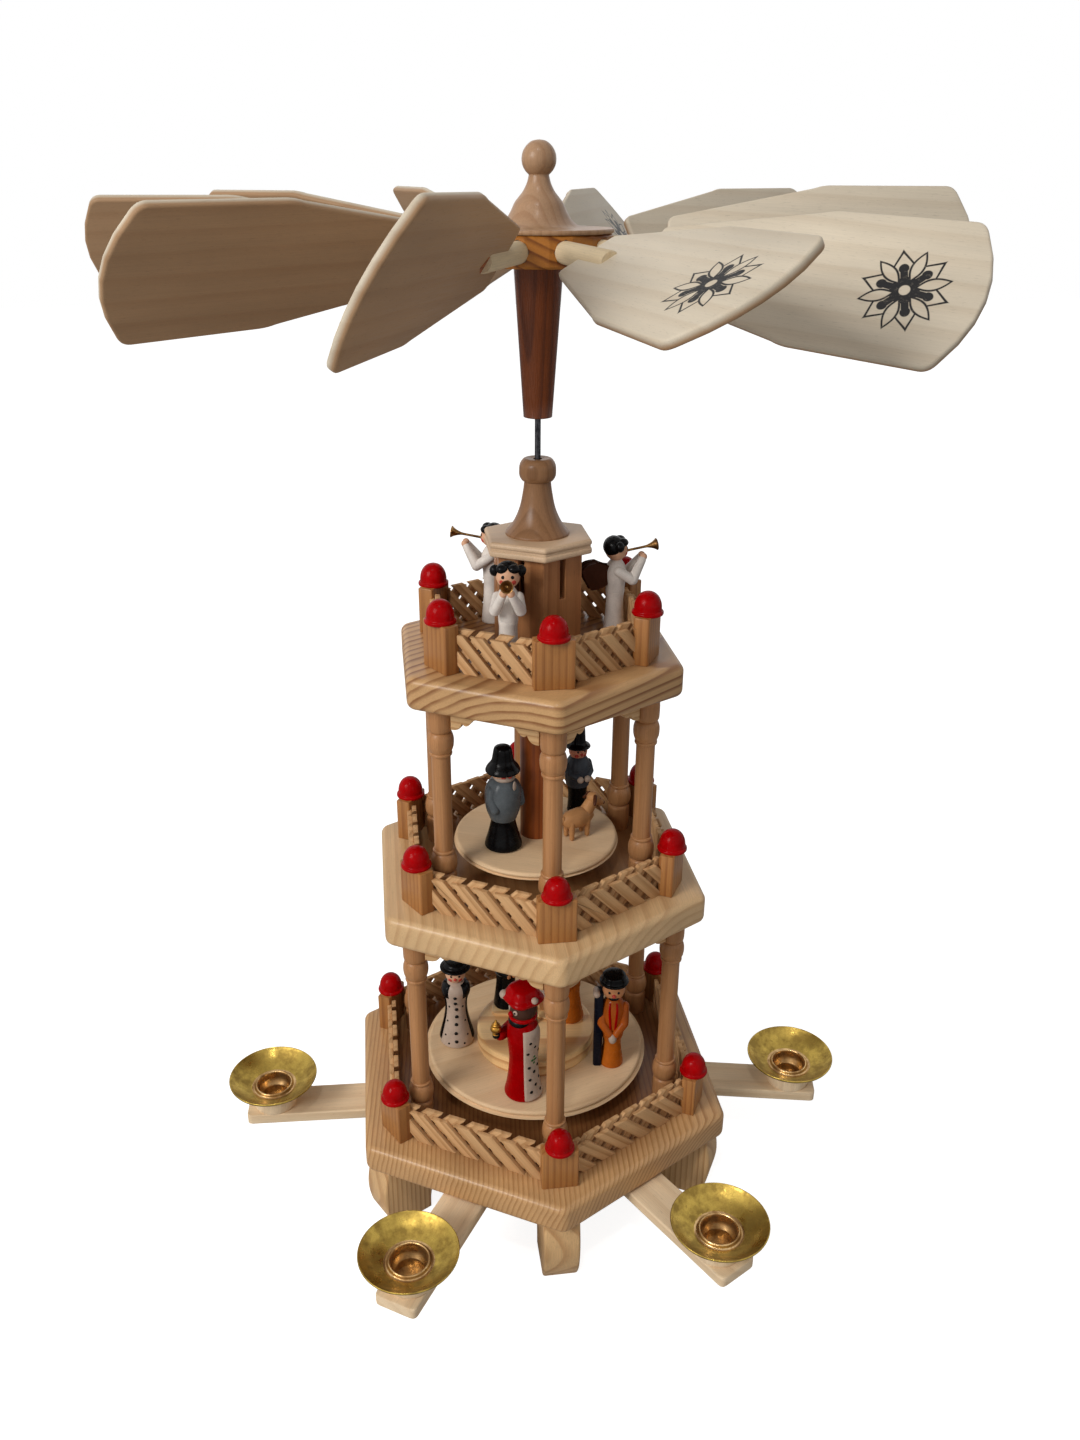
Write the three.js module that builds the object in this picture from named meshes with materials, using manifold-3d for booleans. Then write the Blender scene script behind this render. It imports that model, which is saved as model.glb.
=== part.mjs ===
// A three-storey candle pyramid of turned and sawn wood. Its candles' warm air turns ten blades,
// and the blades' steel rod turns two round tables that carry the figures.
// Millimetres, Z up. The origin lies under the rod, on the surface that the six feet stand on.
import * as THREE from 'three';
import { mergeVertices } from 'three/addons/utils/BufferGeometryUtils.js';
import Module from 'manifold-3d';

const wasm = await Module();
wasm.setup();

// Fits between the pieces
const seatGap = 0.3;
const runningGap = 1.5;
const guideGap = 0.6;
const joinDepth = 0.5;
const overrun = 1;

// The stand's six-sided plates
const sides = 6;
const upperPlateRadius = 60;
const upperPlateOverhang = 14;
const middlePlateOverhang = 13.2;
const plateThickness = 13;
const plateEdge = 2;
const plateCornerRound = 5;

// Heights of the storeys
const footHeight = 31.5;
const lowerColumnHeight = 95.2;
const upperColumnHeight = 84.7;

// Feet: boards on edge under the base plate's corners
const footThickness = 15;
const footInset = 6;
const footTopLength = 36;
const footToeInset = 3;
const footBulge = 3.5;
const footArchLength = 15;
const footEdge = 1;

// Turned columns
const columnSpacing = 4.8;
const columnShaftRadius = 3.7;
const columnCapitalRadius = 4.8;
const columnBeadRadius = 5.1;
const columnBaseRadius = 5.3;
const columnBaseHeight = 8;
const columnFootHeight = 12;
const columnBeadHeight = 6;
const columnCapitalHeight = 11;
const columnRingHeight = 3;
const columnSteps = 8;

// Fences: a post at each corner, a lattice between posts, and a painted cap on each post
const fenceInset = 15.6;
const postWidth = 15;
const postDepth = 6.2;
const postHeight = 18.5;
const capRadius = 5.9;
const capCollarHeight = 1.5;
const capDomeRadius = 5.2;
const capDomeHeight = 6.9;
const capSteps = 8;
const latticeHeight = 16.5;
const latticeThickness = 4;
const latticeStripWidth = 3.2;
const latticeRows = 2;
const lowerLatticeCells = 6;
const middleLatticeCells = 5;
const upperLatticeCells = 3;

// Scalloped aprons under the middle and upper plates
const apronHeight = 10;
const apronThickness = 3;
const apronShares = [[0, 1], [0.07, 0.96], [0.14, 0.64], [0.18, 0.74], [0.28, 0.42], [0.5, 0.32]];

// Candle arms, each held by one screw under the base plate
const armScrewInset = 33;
const armInnerReach = 14;
const armEndMargin = 12;
const armWidth = 18;
const armThickness = 5;
const armCornerRound = 2;
const screwShankRadius = 1.8;
const screwHeadRadius = 3.6;
const screwHeadHeight = 1.8;
const screwSteps = 8;
const dishReach = 62;
const socketRadius = 10.3;
const socketHeight = 8;
const socketSteps = 14;
const armDirections = [180, 240, 300, 0];
const armSwings = [-3, -2.5, -0.5, -12];

// Brass candle dishes
const dishRadius = 19.4;
const dishRise = 6;
const cupRadius = 8;
const cupLip = 1.6;
const brassWall = 0.8;
const dishSteps = 20;

// Rod, and the dimple of the base plate that its point turns in
const rodRadius = 1.1;
const rodTipHeight = 3;
const rodSteps = 8;
const dimpleRadius = 2.4;
const dimpleDepth = 3;
const plateBore = 4;
const boreSteps = 16;

// Tables that turn with the rod
const lowerTableSpacing = 7.7;
const upperTableSpacing = 7;
const tableThickness = 2.6;
const tableEdge = 0.6;
const tableSteps = 24;
const tableLift = 13.1;
const tableBossRadius = 8;
const tableBossHeight = 4.5;
const kingsBandWidth = 22.3;
const platformHeight = 8;
const coreSleeveRadius = 6.6;

// Lantern on the upper plate
const lanternShare = 0.4054;
const lanternWall = 3.4;
const lanternHeight = 38.6;
const lanternSlotWidth = 2.5;
const lanternSlotHeight = 16.5;
const roofOverhang = 4;
const roofThickness = 5.5;
const roofEdge = 1.4;
const spireHeight = 28;
const spireFootRadius = 12;
const spireNeckRadius = 4.9;
const spireFlareShares = [[0.85, 0.14], [0.6, 0.42], [0.47, 0.72]];
const spireKnobRadius = 6.8;
const spireKnobHeight = 8.4;
const spireSteps = 16;

// Rotor above the lantern
const rodShowing = 14.8;
const sleeveLength = 51.3;
const sleeveBottomRadius = 5.2;
const sleeveTopRadius = 8.6;
const hubRadius = 25.5;
const hubThickness = 10.1;
const hubEdge = 0.7;
const hubSteps = 20;
const finialHeight = 28.4;
const finialRimThickness = 1.6;
const finialFlareRadius = 12.2;
const finialNeckRadius = 3.4;
const finialBallRadius = 5.8;
const finialFlareShares = [[1, 0.12], [0.67, 0.47], [0.45, 0.66], [0.31, 0.84]];
const finialBallSteps = 4;

// Blades, each glued into the slot of a round peg
const bladeCount = 10;
const bladeFirstAngle = 174.5;
const bladePitch = 52;
const bladePitchOffsets = [-3, 0, 4.5, -23, -1, 15.5, 3, -3, 2, 0];
const bladeThickness = 3;
const bladeRootRadius = 44;
const bladeRootHalfWidth = 10.5;
const bladeShoulderRadius = 97;
const bladeShoulderHalfWidth = 23;
const bladeCornerRadius = 143;
const bladeCornerHalfWidth = 24;
const bladeTipRadius = 151;
const bladeEdgeRound = 3;
const bladeArcSteps = 5;
const pegRadius = 3.6;
const pegInnerRadius = 15.3;
const pegLength = 47;
const pegSteps = 8;

// Figures: height, place as a share of the floor's radius and a direction, and the way that each one faces
const lowerTablePlaces = {
  red_king: { height: 56, ringShare: 0.732, angle: -106, heading: 205 },
  white_king: { height: 43, ringShare: 0.732, angle: 174, heading: -95 },
  yellow_king: { height: 49, ringShare: 0.772, angle: -33, heading: -100 },
};
const upperTablePlaces = {
  shepherd_1: { height: 47, ringShare: 0.513, angle: -148, heading: -60 },
  shepherd_2: { height: 40, ringShare: 0.762, angle: 39, heading: -75 },
};
const sheepPlace = { ringShare: 0.557, angle: -15, heading: 25 };
const sheepLength = 18;
const upperPlatePlaces = {
  angel_1: { height: 42, ringShare: 0.698, angle: 118, heading: 190 },
  angel_2: { height: 42, ringShare: 0.649, angle: -119, heading: -110 },
  angel_3: { height: 42, ringShare: 0.703, angle: 6, heading: 5 },
};

// The family group, on a floor whose outline is in shares of the platform's radius
const motherHeight = 34;
const motherPlace = { ringShare: 0.62, angle: 8, heading: 190 };
const fatherHeight = 38;
const fatherPlace = { ringShare: 0.722, angle: 128, heading: -70 };
const cradleWidth = 12;
const cradleDepth = 7;
const cradleHeight = 6;
const cradlePlace = { ringShare: 0.559, angle: 63, heading: 90 };
const familyFloorThickness = 1.2;
const familyFloorShares = [
  [-0.72, 0.3], [0, 0.18], [0.42, -0.12], [0.83, -0.1], [0.75, 0.45], [0, 0.92], [-0.68, 0.65],
];

// A figure faces +X, and every size of it is a share of its height. Turned parts are [radius, height] pairs.
const figureSteps = 8;
const handSteps = 6;
const robeShares = [
  [0, 0], [0.125, 0], [0.14, 0.03], [0.105, 0.36], [0.12, 0.58], [0.09, 0.68], [0, 0.72],
];
const bellRobeShares = [
  [0, 0], [0.16, 0], [0.178, 0.03], [0.165, 0.1], [0.115, 0.32], [0.105, 0.5], [0.14, 0.66], [0, 0.77],
];
const slimRobeShares = [
  [0, 0], [0.1, 0], [0.1, 0.04], [0.08, 0.24], [0.105, 0.45], [0.105, 0.62], [0, 0.74],
];
const coatShares = [
  [0, 0], [0.13, 0], [0.15, 0.04], [0.12, 0.17], [0.1, 0.36], [0.135, 0.42], [0.15, 0.52], [0.12, 0.63],
  [0, 0.71],
];
const gownShares = [
  [0, 0], [0.105, 0], [0.108, 0.03], [0.078, 0.44], [0.09, 0.58], [0.085, 0.68], [0, 0.77],
];
const crownShares = [[0, 0.86], [0.09, 0.86], [0.145, 0.9], [0.13, 0.94], [0.1, 0.99], [0, 1]];
const capShares = [[0, 0.9], [0.11, 0.9], [0.112, 0.97], [0.09, 1], [0, 1]];
const brimHatShares = [
  [0, 0.76], [0.07, 0.76], [0.13, 0.73], [0.136, 0.755], [0.078, 0.83], [0.064, 0.98], [0, 1],
];
const hoodShares = [[0, 0.86], [0.09, 0.82], [0.11, 0.88], [0.09, 0.96], [0, 1]];
const armThicknessShare = 0.045;
const shoulderShares = [0, 0.1, 0.62];
const giftSizeShare = 0.05;
const bunSizeShare = 0.05;
const bunShares = [0, 0.09, 0.93];
const trumpetShares = { mouth: [0.07, 0, 0.83], bell: [0.4, 0, 0.88], tube: 0.02, flare: 0.055 };
const wingShares = [[-0.04, 0.58], [-0.24, 0.5], [-0.34, 0.68], [-0.2, 0.74], [-0.04, 0.7]];
const wingThicknessShare = 0.06;
const wingSweep = 42;
const capeShares = [[0, 0], [0.09, 0], [0.09, 0.78], [0, 0.82]];
const capeThicknessShare = 0.1;
const capeSideShare = -0.13;

// Each figure's right hand and left hand, and the level and size of its head
const redKingShares = {
  body: robeShares, hat: crownShares, head: 0.79, skull: 0.105,
  hands: [[0.17, -0.08, 0.56], [0.12, 0.04, 0.45]],
};
const redKingGiftShares = [0.17, -0.08, 0.62];
const whiteKingShares = {
  body: bellRobeShares, hat: capShares, head: 0.85, skull: 0.105,
  hands: [[0.13, -0.04, 0.56], [0.13, 0.04, 0.56]],
};
const yellowKingShares = {
  body: slimRobeShares, hat: capShares, head: 0.81, skull: 0.1,
  hands: [[0.13, -0.02, 0.4], [0.13, 0.02, 0.4]],
};
const shepherdShares = {
  body: coatShares, hat: brimHatShares, head: 0.72, skull: 0.1,
  hands: [[0.16, -0.03, 0.5], [0.16, 0.03, 0.5]],
};
const angelShares = {
  body: gownShares, hat: hoodShares, head: 0.85, skull: 0.1, hands: [[0.27, -0.03, 0.78], [0.27, 0.03, 0.78]],
};
const motherShares = {
  body: robeShares, hat: hoodShares, head: 0.8, skull: 0.1, hands: [[0.14, -0.03, 0.5], [0.14, 0.03, 0.5]],
};
const fatherShares = {
  body: robeShares, hat: capShares, head: 0.81, skull: 0.1, hands: [[0.14, -0.03, 0.5], [0.14, 0.03, 0.5]],
};

// The sheep's places and sizes are shares of its length, along +X from its rump to its nose
const sheepShares = { girth: 0.21, head: 0.15, leg: 0.07, step: 0.105 };
const sheepPlaceShares = {
  rump: [-0.29, 0, 0.42], chest: [0.08, 0, 0.42], crown: [0.29, 0, 0.78], nose: [0.5, 0, 0.62],
};

// Places worked out from the sizes above, from the top storey outwards and down
const columnInset = fenceInset + postDepth / 2 + columnBeadRadius + columnSpacing;
const upperColumnRing = upperPlateRadius - upperPlateOverhang;
const middlePlateRadius = upperColumnRing + columnInset;
const lowerColumnRing = middlePlateRadius - middlePlateOverhang;
const basePlateRadius = lowerColumnRing + columnInset;
const lowerFenceRing = basePlateRadius - fenceInset;
const middleFenceRing = middlePlateRadius - fenceInset;
const upperFenceRing = upperPlateRadius - fenceInset;
const lowerTableRadius = lowerColumnRing - columnBeadRadius - lowerTableSpacing;
const upperTableRadius = upperColumnRing - columnBeadRadius - upperTableSpacing;
const platformRadius = lowerTableRadius - kingsBandWidth;
const footOuterRadius = basePlateRadius - footInset;
const footInnerRadius = footOuterRadius - footTopLength;
const armScrewRing = basePlateRadius - armScrewInset;
const lanternRadius = upperFenceRing * lanternShare;
const roofRadius = lanternRadius + roofOverhang;
const baseTop = footHeight + plateThickness;
const middleBottom = baseTop + lowerColumnHeight;
const middleTop = middleBottom + plateThickness;
const upperBottom = middleTop + upperColumnHeight;
const upperTop = upperBottom + plateThickness;
const roofBottom = upperTop + lanternHeight;
const roofTop = roofBottom + roofThickness;
const spireTop = roofTop + spireHeight;
const sleeveBottom = spireTop + rodShowing;
const hubBottom = sleeveBottom + sleeveLength;
const hubMiddle = hubBottom + hubThickness / 2;
const hubTop = hubBottom + hubThickness;
const lowerTableTop = baseTop + tableLift;
const upperTableTop = middleTop + tableLift;
const platformTop = lowerTableTop + platformHeight;
const rodTip = baseTop - dimpleDepth + seatGap;
const armTop = footHeight - seatGap;
const rodBore = rodRadius + seatGap;

const materials = {
  pine: new THREE.MeshStandardMaterial({ color: '#d8b27e', roughness: 0.55 }),
  grainedPine: new THREE.MeshStandardMaterial({ color: '#c99a5c', roughness: 0.55 }),
  beech: new THREE.MeshStandardMaterial({ color: '#cda277', roughness: 0.5 }),
  lattice: new THREE.MeshStandardMaterial({ color: '#dcb583', roughness: 0.65 }),
  plywood: new THREE.MeshStandardMaterial({ color: '#ded2bb', roughness: 0.65 }),
  darkWood: new THREE.MeshStandardMaterial({ color: '#7a4526', roughness: 0.4 }),
  brass: new THREE.MeshStandardMaterial({ color: '#9c8432', roughness: 0.38, metalness: 0.9 }),
  steel: new THREE.MeshStandardMaterial({ color: '#3b3b3d', roughness: 0.35, metalness: 0.9 }),
  redPaint: new THREE.MeshStandardMaterial({ color: '#c01018', roughness: 0.25 }),
  whitePaint: new THREE.MeshStandardMaterial({ color: '#e6e6df', roughness: 0.35 }),
  bluePaint: new THREE.MeshStandardMaterial({ color: '#c9d4e2', roughness: 0.35 }),
  yellowPaint: new THREE.MeshStandardMaterial({ color: '#d98a22', roughness: 0.35 }),
  greyPaint: new THREE.MeshStandardMaterial({ color: '#55656b', roughness: 0.35 }),
};

const radians = THREE.MathUtils.degToRad;
const cornerAngle = (index) => radians(index * 360 / sides - 90);
const polar = (radius, angle) => new THREE.Vector2(radius * Math.cos(angle), radius * Math.sin(angle));

// A closed shape as a solid that can be joined and cut, without the faces that shrink to a line at a pole
function solid(geometry) {
  const bare = geometry.clone();
  bare.deleteAttribute('normal');
  bare.deleteAttribute('uv');
  const merged = mergeVertices(bare);
  const faces = [];
  for (let i = 0; i < merged.index.count; i += 3) {
    const [a, b, c] = merged.index.array.slice(i, i + 3);
    if (a !== b && b !== c && c !== a) faces.push(a, b, c);
  }
  const vertProperties = new Float32Array(merged.attributes.position.array);
  return new wasm.Manifold(new wasm.Mesh({ numProp: 3, vertProperties, triVerts: new Uint32Array(faces) }));
}

function geometryOf(body) {
  const { vertProperties, triVerts } = body.getMesh();
  const geometry = new THREE.BufferGeometry();
  geometry.setAttribute('position', new THREE.BufferAttribute(vertProperties, 3));
  geometry.setIndex(new THREE.BufferAttribute(triVerts, 1));
  geometry.computeVertexNormals();
  return geometry;
}

const joined = (bodies) => bodies.reduce((all, body) => all.add(body));

// A profile of [radius, height] pairs turned about the upright axis
function turned(profile, steps) {
  const points = profile.map(([radius, height]) => new THREE.Vector2(radius, height));
  return new THREE.LatheGeometry(points, steps).rotateX(Math.PI / 2);
}

const cylinder = (radius, bottom, top, steps) =>
  turned([[0, bottom], [radius, bottom], [radius, top], [0, top]], steps);

// A flat outline given a thickness upwards from a height, with its rims rounded by edge
function slab(shape, bottom, thickness, edge, curveSegments = 3) {
  const geometry = new THREE.ExtrudeGeometry(shape, {
    depth: thickness - 2 * edge,
    bevelEnabled: edge > 0,
    bevelThickness: edge,
    bevelSize: edge,
    bevelOffset: -edge,
    bevelSegments: 2,
    curveSegments,
  });
  return geometry.translate(0, 0, bottom + edge);
}

// An outline through corners, each corner rounded by a curve that starts the given length before it
function roundedShape(corners, round) {
  const shape = new THREE.Shape();
  corners.forEach((corner, i) => {
    const before = corners[(i + corners.length - 1) % corners.length];
    const after = corners[(i + 1) % corners.length];
    const start = corner.clone().add(before.clone().sub(corner).setLength(round));
    const end = corner.clone().add(after.clone().sub(corner).setLength(round));
    if (i === 0) shape.moveTo(start.x, start.y);
    else shape.lineTo(start.x, start.y);
    shape.quadraticCurveTo(corner.x, corner.y, end.x, end.y);
  });
  shape.closePath();
  return shape;
}

const hexagon = (radius) => Array.from({ length: sides }, (_, i) => polar(radius, cornerAngle(i)));
const block = (width, depth, bottom, height) => slab(new THREE.Shape([
  new THREE.Vector2(-depth / 2, -width / 2),
  new THREE.Vector2(depth / 2, -width / 2),
  new THREE.Vector2(depth / 2, width / 2),
  new THREE.Vector2(-depth / 2, width / 2),
]), bottom, height, 0);

const pyramid = new THREE.Group();
pyramid.name = 'candle_pyramid';

function piece(name, shape, material) {
  const mesh = new THREE.Mesh(shape.isBufferGeometry ? shape : geometryOf(shape), material);
  mesh.name = name;
  pyramid.add(mesh);
}

// Plates

const plateSlab = (radius, bottom) =>
  solid(slab(roundedShape(hexagon(radius), plateCornerRound), bottom, plateThickness, plateEdge));

// The sawn board between two column tops, upright, with its top let into the plate above it
function apronBoard(length) {
  const shape = new THREE.Shape();
  shape.moveTo(length / 2, joinDepth);
  shape.lineTo(-length / 2, joinDepth);
  const half = apronShares.map(([along, down]) => [along - 1 / 2, down]);
  const mirrored = half.slice(0, -1).reverse().map(([along, down]) => [-along, down]);
  [...half, ...mirrored].forEach(([along, down]) => shape.lineTo(along * length, -down * apronHeight));
  shape.closePath();
  return slab(shape, -apronThickness / 2, apronThickness, 0);
}

function aprons(plateBottom, ring) {
  const length = ring - 2 * (columnCapitalRadius + seatGap);
  return Array.from({ length: sides }, (_, i) => {
    const board = apronBoard(length).rotateX(Math.PI / 2).rotateZ(Math.PI / 2);
    board.translate(ring * Math.cos(Math.PI / sides), 0, plateBottom);
    return solid(board.rotateZ(cornerAngle(i) + Math.PI / sides));
  });
}

// Where arm number i is screwed on, and the way that it points
function armPlace(i) {
  const direction = radians(armDirections[i]);
  return { screw: polar(armScrewRing, direction), heading: direction + radians(armSwings[i]) };
}

function pivotScrew(i) {
  const { screw } = armPlace(i);
  const headTop = armTop - armThickness - seatGap;
  const profile = [
    [0, headTop - screwHeadHeight],
    [screwHeadRadius, headTop - screwHeadHeight],
    [screwHeadRadius, headTop],
    [screwShankRadius, headTop],
    [screwShankRadius, footHeight + joinDepth],
    [0, footHeight + joinDepth],
  ];
  return solid(turned(profile, screwSteps).translate(screw.x, screw.y, 0));
}

function basePlate() {
  const dimple = solid(turned([
    [0, baseTop - dimpleDepth],
    [dimpleRadius, baseTop],
    [dimpleRadius, baseTop + overrun],
    [0, baseTop + overrun],
  ], boreSteps));
  return joined([plateSlab(basePlateRadius, footHeight), ...armDirections.map((_, i) => pivotScrew(i))])
    .subtract(dimple);
}

function platedStorey(radius, bottom, ring) {
  const hole = solid(cylinder(plateBore, bottom - overrun, bottom + plateThickness + overrun, boreSteps));
  return joined([plateSlab(radius, bottom), ...aprons(bottom, ring)]).subtract(hole);
}

// Feet and columns

function foot(i) {
  const toe = footOuterRadius - footToeInset;
  const heel = footInnerRadius + footArchLength;
  const bulged = footOuterRadius - footToeInset / 2 + 2 * footBulge;
  const shape = new THREE.Shape();
  shape.moveTo(footInnerRadius, footHeight);
  shape.quadraticCurveTo(heel, footHeight / 2, heel, 0);
  shape.lineTo(toe, 0);
  shape.quadraticCurveTo(bulged, footHeight / 2, footOuterRadius, footHeight);
  shape.closePath();
  const board = slab(shape, -footThickness / 2, footThickness, footEdge, 5);
  return board.rotateX(Math.PI / 2).rotateZ(cornerAngle(i));
}

function column(height) {
  const beadTop = height - columnCapitalHeight;
  const beadBottom = beadTop - columnBeadHeight;
  const ringBottom = beadBottom - columnRingHeight;
  const footBeadTop = columnFootHeight + columnBaseHeight;
  return turned([
    [0, 0],
    [columnCapitalRadius, 0],
    [columnCapitalRadius, columnFootHeight],
    [columnShaftRadius, columnFootHeight],
    [columnBaseRadius, columnFootHeight + columnBaseHeight / 3],
    [columnBaseRadius, columnFootHeight + columnBaseHeight * 2 / 3],
    [columnShaftRadius, footBeadTop],
    [columnShaftRadius, ringBottom],
    [columnCapitalRadius, beadBottom - columnRingHeight / 2],
    [columnShaftRadius, beadBottom],
    [columnBeadRadius, (beadBottom + beadTop) / 2],
    [columnShaftRadius, beadTop],
    [columnCapitalRadius, beadTop + columnRingHeight / 2],
    [columnCapitalRadius, height],
    [0, height],
  ], columnSteps);
}

// Fences

// A lattice of crossed strips with a zigzag top. Its open cells are diamonds in staggered rows.
function latticePanel(length, cells) {
  const pitch = length / cells;
  const stripReach = latticeStripWidth / Math.SQRT2;
  const cellReach = pitch / 2 - stripReach;
  const rise = (latticeHeight - stripReach) / latticeRows;
  const slope = rise / (pitch / 2);
  const end = length / 2 + joinDepth;
  const notch = latticeRows * rise - cellReach * slope;
  const shape = new THREE.Shape();
  shape.moveTo(-end, 0);
  shape.lineTo(end, 0);
  shape.lineTo(end, latticeHeight);
  for (let i = 0; i < cells; i += 1) {
    shape.lineTo(length / 2 - i * pitch, latticeHeight);
    shape.lineTo(length / 2 - (i + 0.5) * pitch, notch);
  }
  shape.lineTo(-length / 2, latticeHeight);
  shape.lineTo(-end, latticeHeight);
  shape.closePath();
  const openings = [];
  for (let row = 0; row < latticeRows; row += 1) {
    const inset = row % 2 === 0 ? pitch / 2 : pitch;
    for (let i = 0; i + inset / pitch < cells; i += 1) {
      const cell = new THREE.Shape([
        new THREE.Vector2(-cellReach, 0),
        new THREE.Vector2(0, -cellReach * slope),
        new THREE.Vector2(cellReach, 0),
        new THREE.Vector2(0, cellReach * slope),
      ]);
      const cut = slab(cell, -latticeThickness / 2 - overrun, latticeThickness + 2 * overrun, 0);
      openings.push(solid(cut.translate(inset + i * pitch - length / 2, row * rise, 0)));
    }
  }
  return solid(slab(shape, -latticeThickness / 2, latticeThickness, 0)).subtract(joined(openings));
}

function cappedPost() {
  const collarTop = postHeight + capCollarHeight;
  const cap = turned([
    [0, postHeight - joinDepth],
    [capRadius, postHeight - joinDepth],
    [capRadius, collarTop],
    [capDomeRadius, collarTop],
    [capDomeRadius, collarTop + capDomeHeight / 4],
    [capDomeRadius * Math.cos(Math.PI / 4), collarTop + capDomeHeight * Math.sin(Math.PI / 4)],
    [0, collarTop + capDomeHeight],
  ], capSteps);
  return solid(block(postWidth, postDepth, 0, postHeight)).add(solid(cap));
}

function fence(ring, cells) {
  const panel = latticePanel(ring - postWidth, cells)
    .rotate([90, 0, 90])
    .translate([ring * Math.cos(Math.PI / sides), 0, 0]);
  const post = cappedPost().translate([ring, 0, 0]);
  const parts = Array.from({ length: sides }, (_, i) => {
    const angle = i * 360 / sides - 90;
    return post.rotate([0, 0, angle]).add(panel.rotate([0, 0, angle + 180 / sides]));
  });
  return joined(parts);
}

// Candle arms and dishes

function candleArm(i) {
  const { screw, heading } = armPlace(i);
  const bar = solid(slab(roundedShape([
    new THREE.Vector2(-armInnerReach, -armWidth / 2),
    new THREE.Vector2(dishReach + armEndMargin, -armWidth / 2),
    new THREE.Vector2(dishReach + armEndMargin, armWidth / 2),
    new THREE.Vector2(-armInnerReach, armWidth / 2),
  ], armCornerRound), armTop - armThickness, armThickness, 0));
  const socket = solid(cylinder(socketRadius, armTop - joinDepth, armTop + socketHeight, socketSteps)
    .translate(dishReach, 0, 0));
  const bore = solid(cylinder(cupRadius + seatGap, armTop, armTop + socketHeight + overrun, socketSteps)
    .translate(dishReach, 0, 0));
  const screwHole = solid(cylinder(
    screwShankRadius + seatGap,
    armTop - armThickness - overrun,
    armTop + overrun,
    screwSteps,
  ));
  const body = bar.add(socket).subtract(bore).subtract(screwHole);
  return body.rotate([0, 0, heading * 180 / Math.PI]).translate([screw.x, screw.y, 0]);
}

function candleDish(i) {
  const { screw, heading } = armPlace(i);
  const floor = armTop + socketHeight + seatGap;
  const dish = turned([
    [0, armTop],
    [cupRadius, armTop],
    [cupRadius, floor],
    [dishRadius, floor + dishRise],
    [dishRadius, floor + dishRise + brassWall],
    [cupRadius + brassWall, floor + brassWall],
    [cupRadius, floor + brassWall + cupLip],
    [cupRadius - brassWall, floor + brassWall + cupLip],
    [cupRadius - brassWall, armTop + brassWall],
    [0, armTop + brassWall],
  ], dishSteps);
  const centre = screw.clone().add(polar(dishReach, heading));
  return dish.translate(centre.x, centre.y, 0);
}

// Rod and tables

const rod = () => turned([
  [0, rodTip],
  [rodRadius, rodTip + rodTipHeight],
  [rodRadius, hubTop - hubEdge],
  [0, hubTop - hubEdge],
], rodSteps);

function table(radius, top, crown) {
  const bottom = top - tableThickness;
  return turned([
    [rodBore, bottom - tableBossHeight],
    [tableBossRadius, bottom - tableBossHeight],
    [tableBossRadius, bottom],
    [radius - tableEdge, bottom],
    [radius, bottom + tableEdge],
    [radius, top - tableEdge],
    [radius - tableEdge, top],
    ...crown,
    [rodBore, bottom - tableBossHeight],
  ], tableSteps);
}

const lowerTable = () => table(lowerTableRadius, lowerTableTop, [
  [platformRadius, lowerTableTop],
  [platformRadius, platformTop - tableEdge],
  [platformRadius - tableEdge, platformTop],
  [rodBore, platformTop],
]);

const upperTable = () => table(upperTableRadius, upperTableTop, [
  [coreSleeveRadius, upperTableTop],
  [coreSleeveRadius, upperBottom - runningGap],
  [rodBore, upperBottom - runningGap],
]);

// Lantern

function lanternHousing() {
  const wall = slab(roundedShape(hexagon(lanternRadius), tableEdge), upperTop, lanternHeight, 0, 1);
  const inner = slab(roundedShape(hexagon(lanternRadius - lanternWall), tableEdge),
    upperTop - overrun, lanternHeight + 2 * overrun, 0, 1);
  const slot = block(lanternSlotWidth, 2 * (lanternRadius + overrun),
    roofBottom - lanternSlotHeight, lanternSlotHeight + overrun);
  let housing = solid(wall).subtract(solid(inner));
  for (let i = 0; i < sides / 2; i += 1) {
    housing = housing.subtract(solid(slot.clone().rotateZ(cornerAngle(i) + Math.PI / sides)));
  }
  return housing;
}

function lanternRoof() {
  const outline = roundedShape(hexagon(roofRadius), plateEdge);
  const plate = solid(slab(outline, roofBottom, roofThickness, roofEdge));
  const knobMiddle = spireTop - spireKnobHeight / 2;
  const knobFoot = spireTop - spireKnobHeight;
  const spire = turned([
    [0, roofTop - joinDepth],
    [spireFootRadius, roofTop - joinDepth],
    ...spireFlareShares.map(([across, up]) =>
      [spireFootRadius * across, roofTop + (knobFoot - roofTop) * up]),
    [spireNeckRadius, knobFoot],
    [spireKnobRadius, knobMiddle - roofEdge],
    [spireKnobRadius, knobMiddle + roofEdge],
    [spireNeckRadius, spireTop],
    [0, spireTop],
  ], spireSteps);
  const bore = cylinder(rodRadius + guideGap, roofBottom - overrun, spireTop + overrun, rodSteps);
  return plate.add(solid(spire)).subtract(solid(bore));
}

// Rotor

const rotorSleeve = () => turned([
  [rodBore, sleeveBottom],
  [sleeveBottomRadius, sleeveBottom],
  [sleeveTopRadius, hubBottom],
  [rodBore, hubBottom],
  [rodBore, sleeveBottom],
], spireSteps);

const bladeAngle = (i) => bladeFirstAngle + i * 360 / bladeCount;

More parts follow.
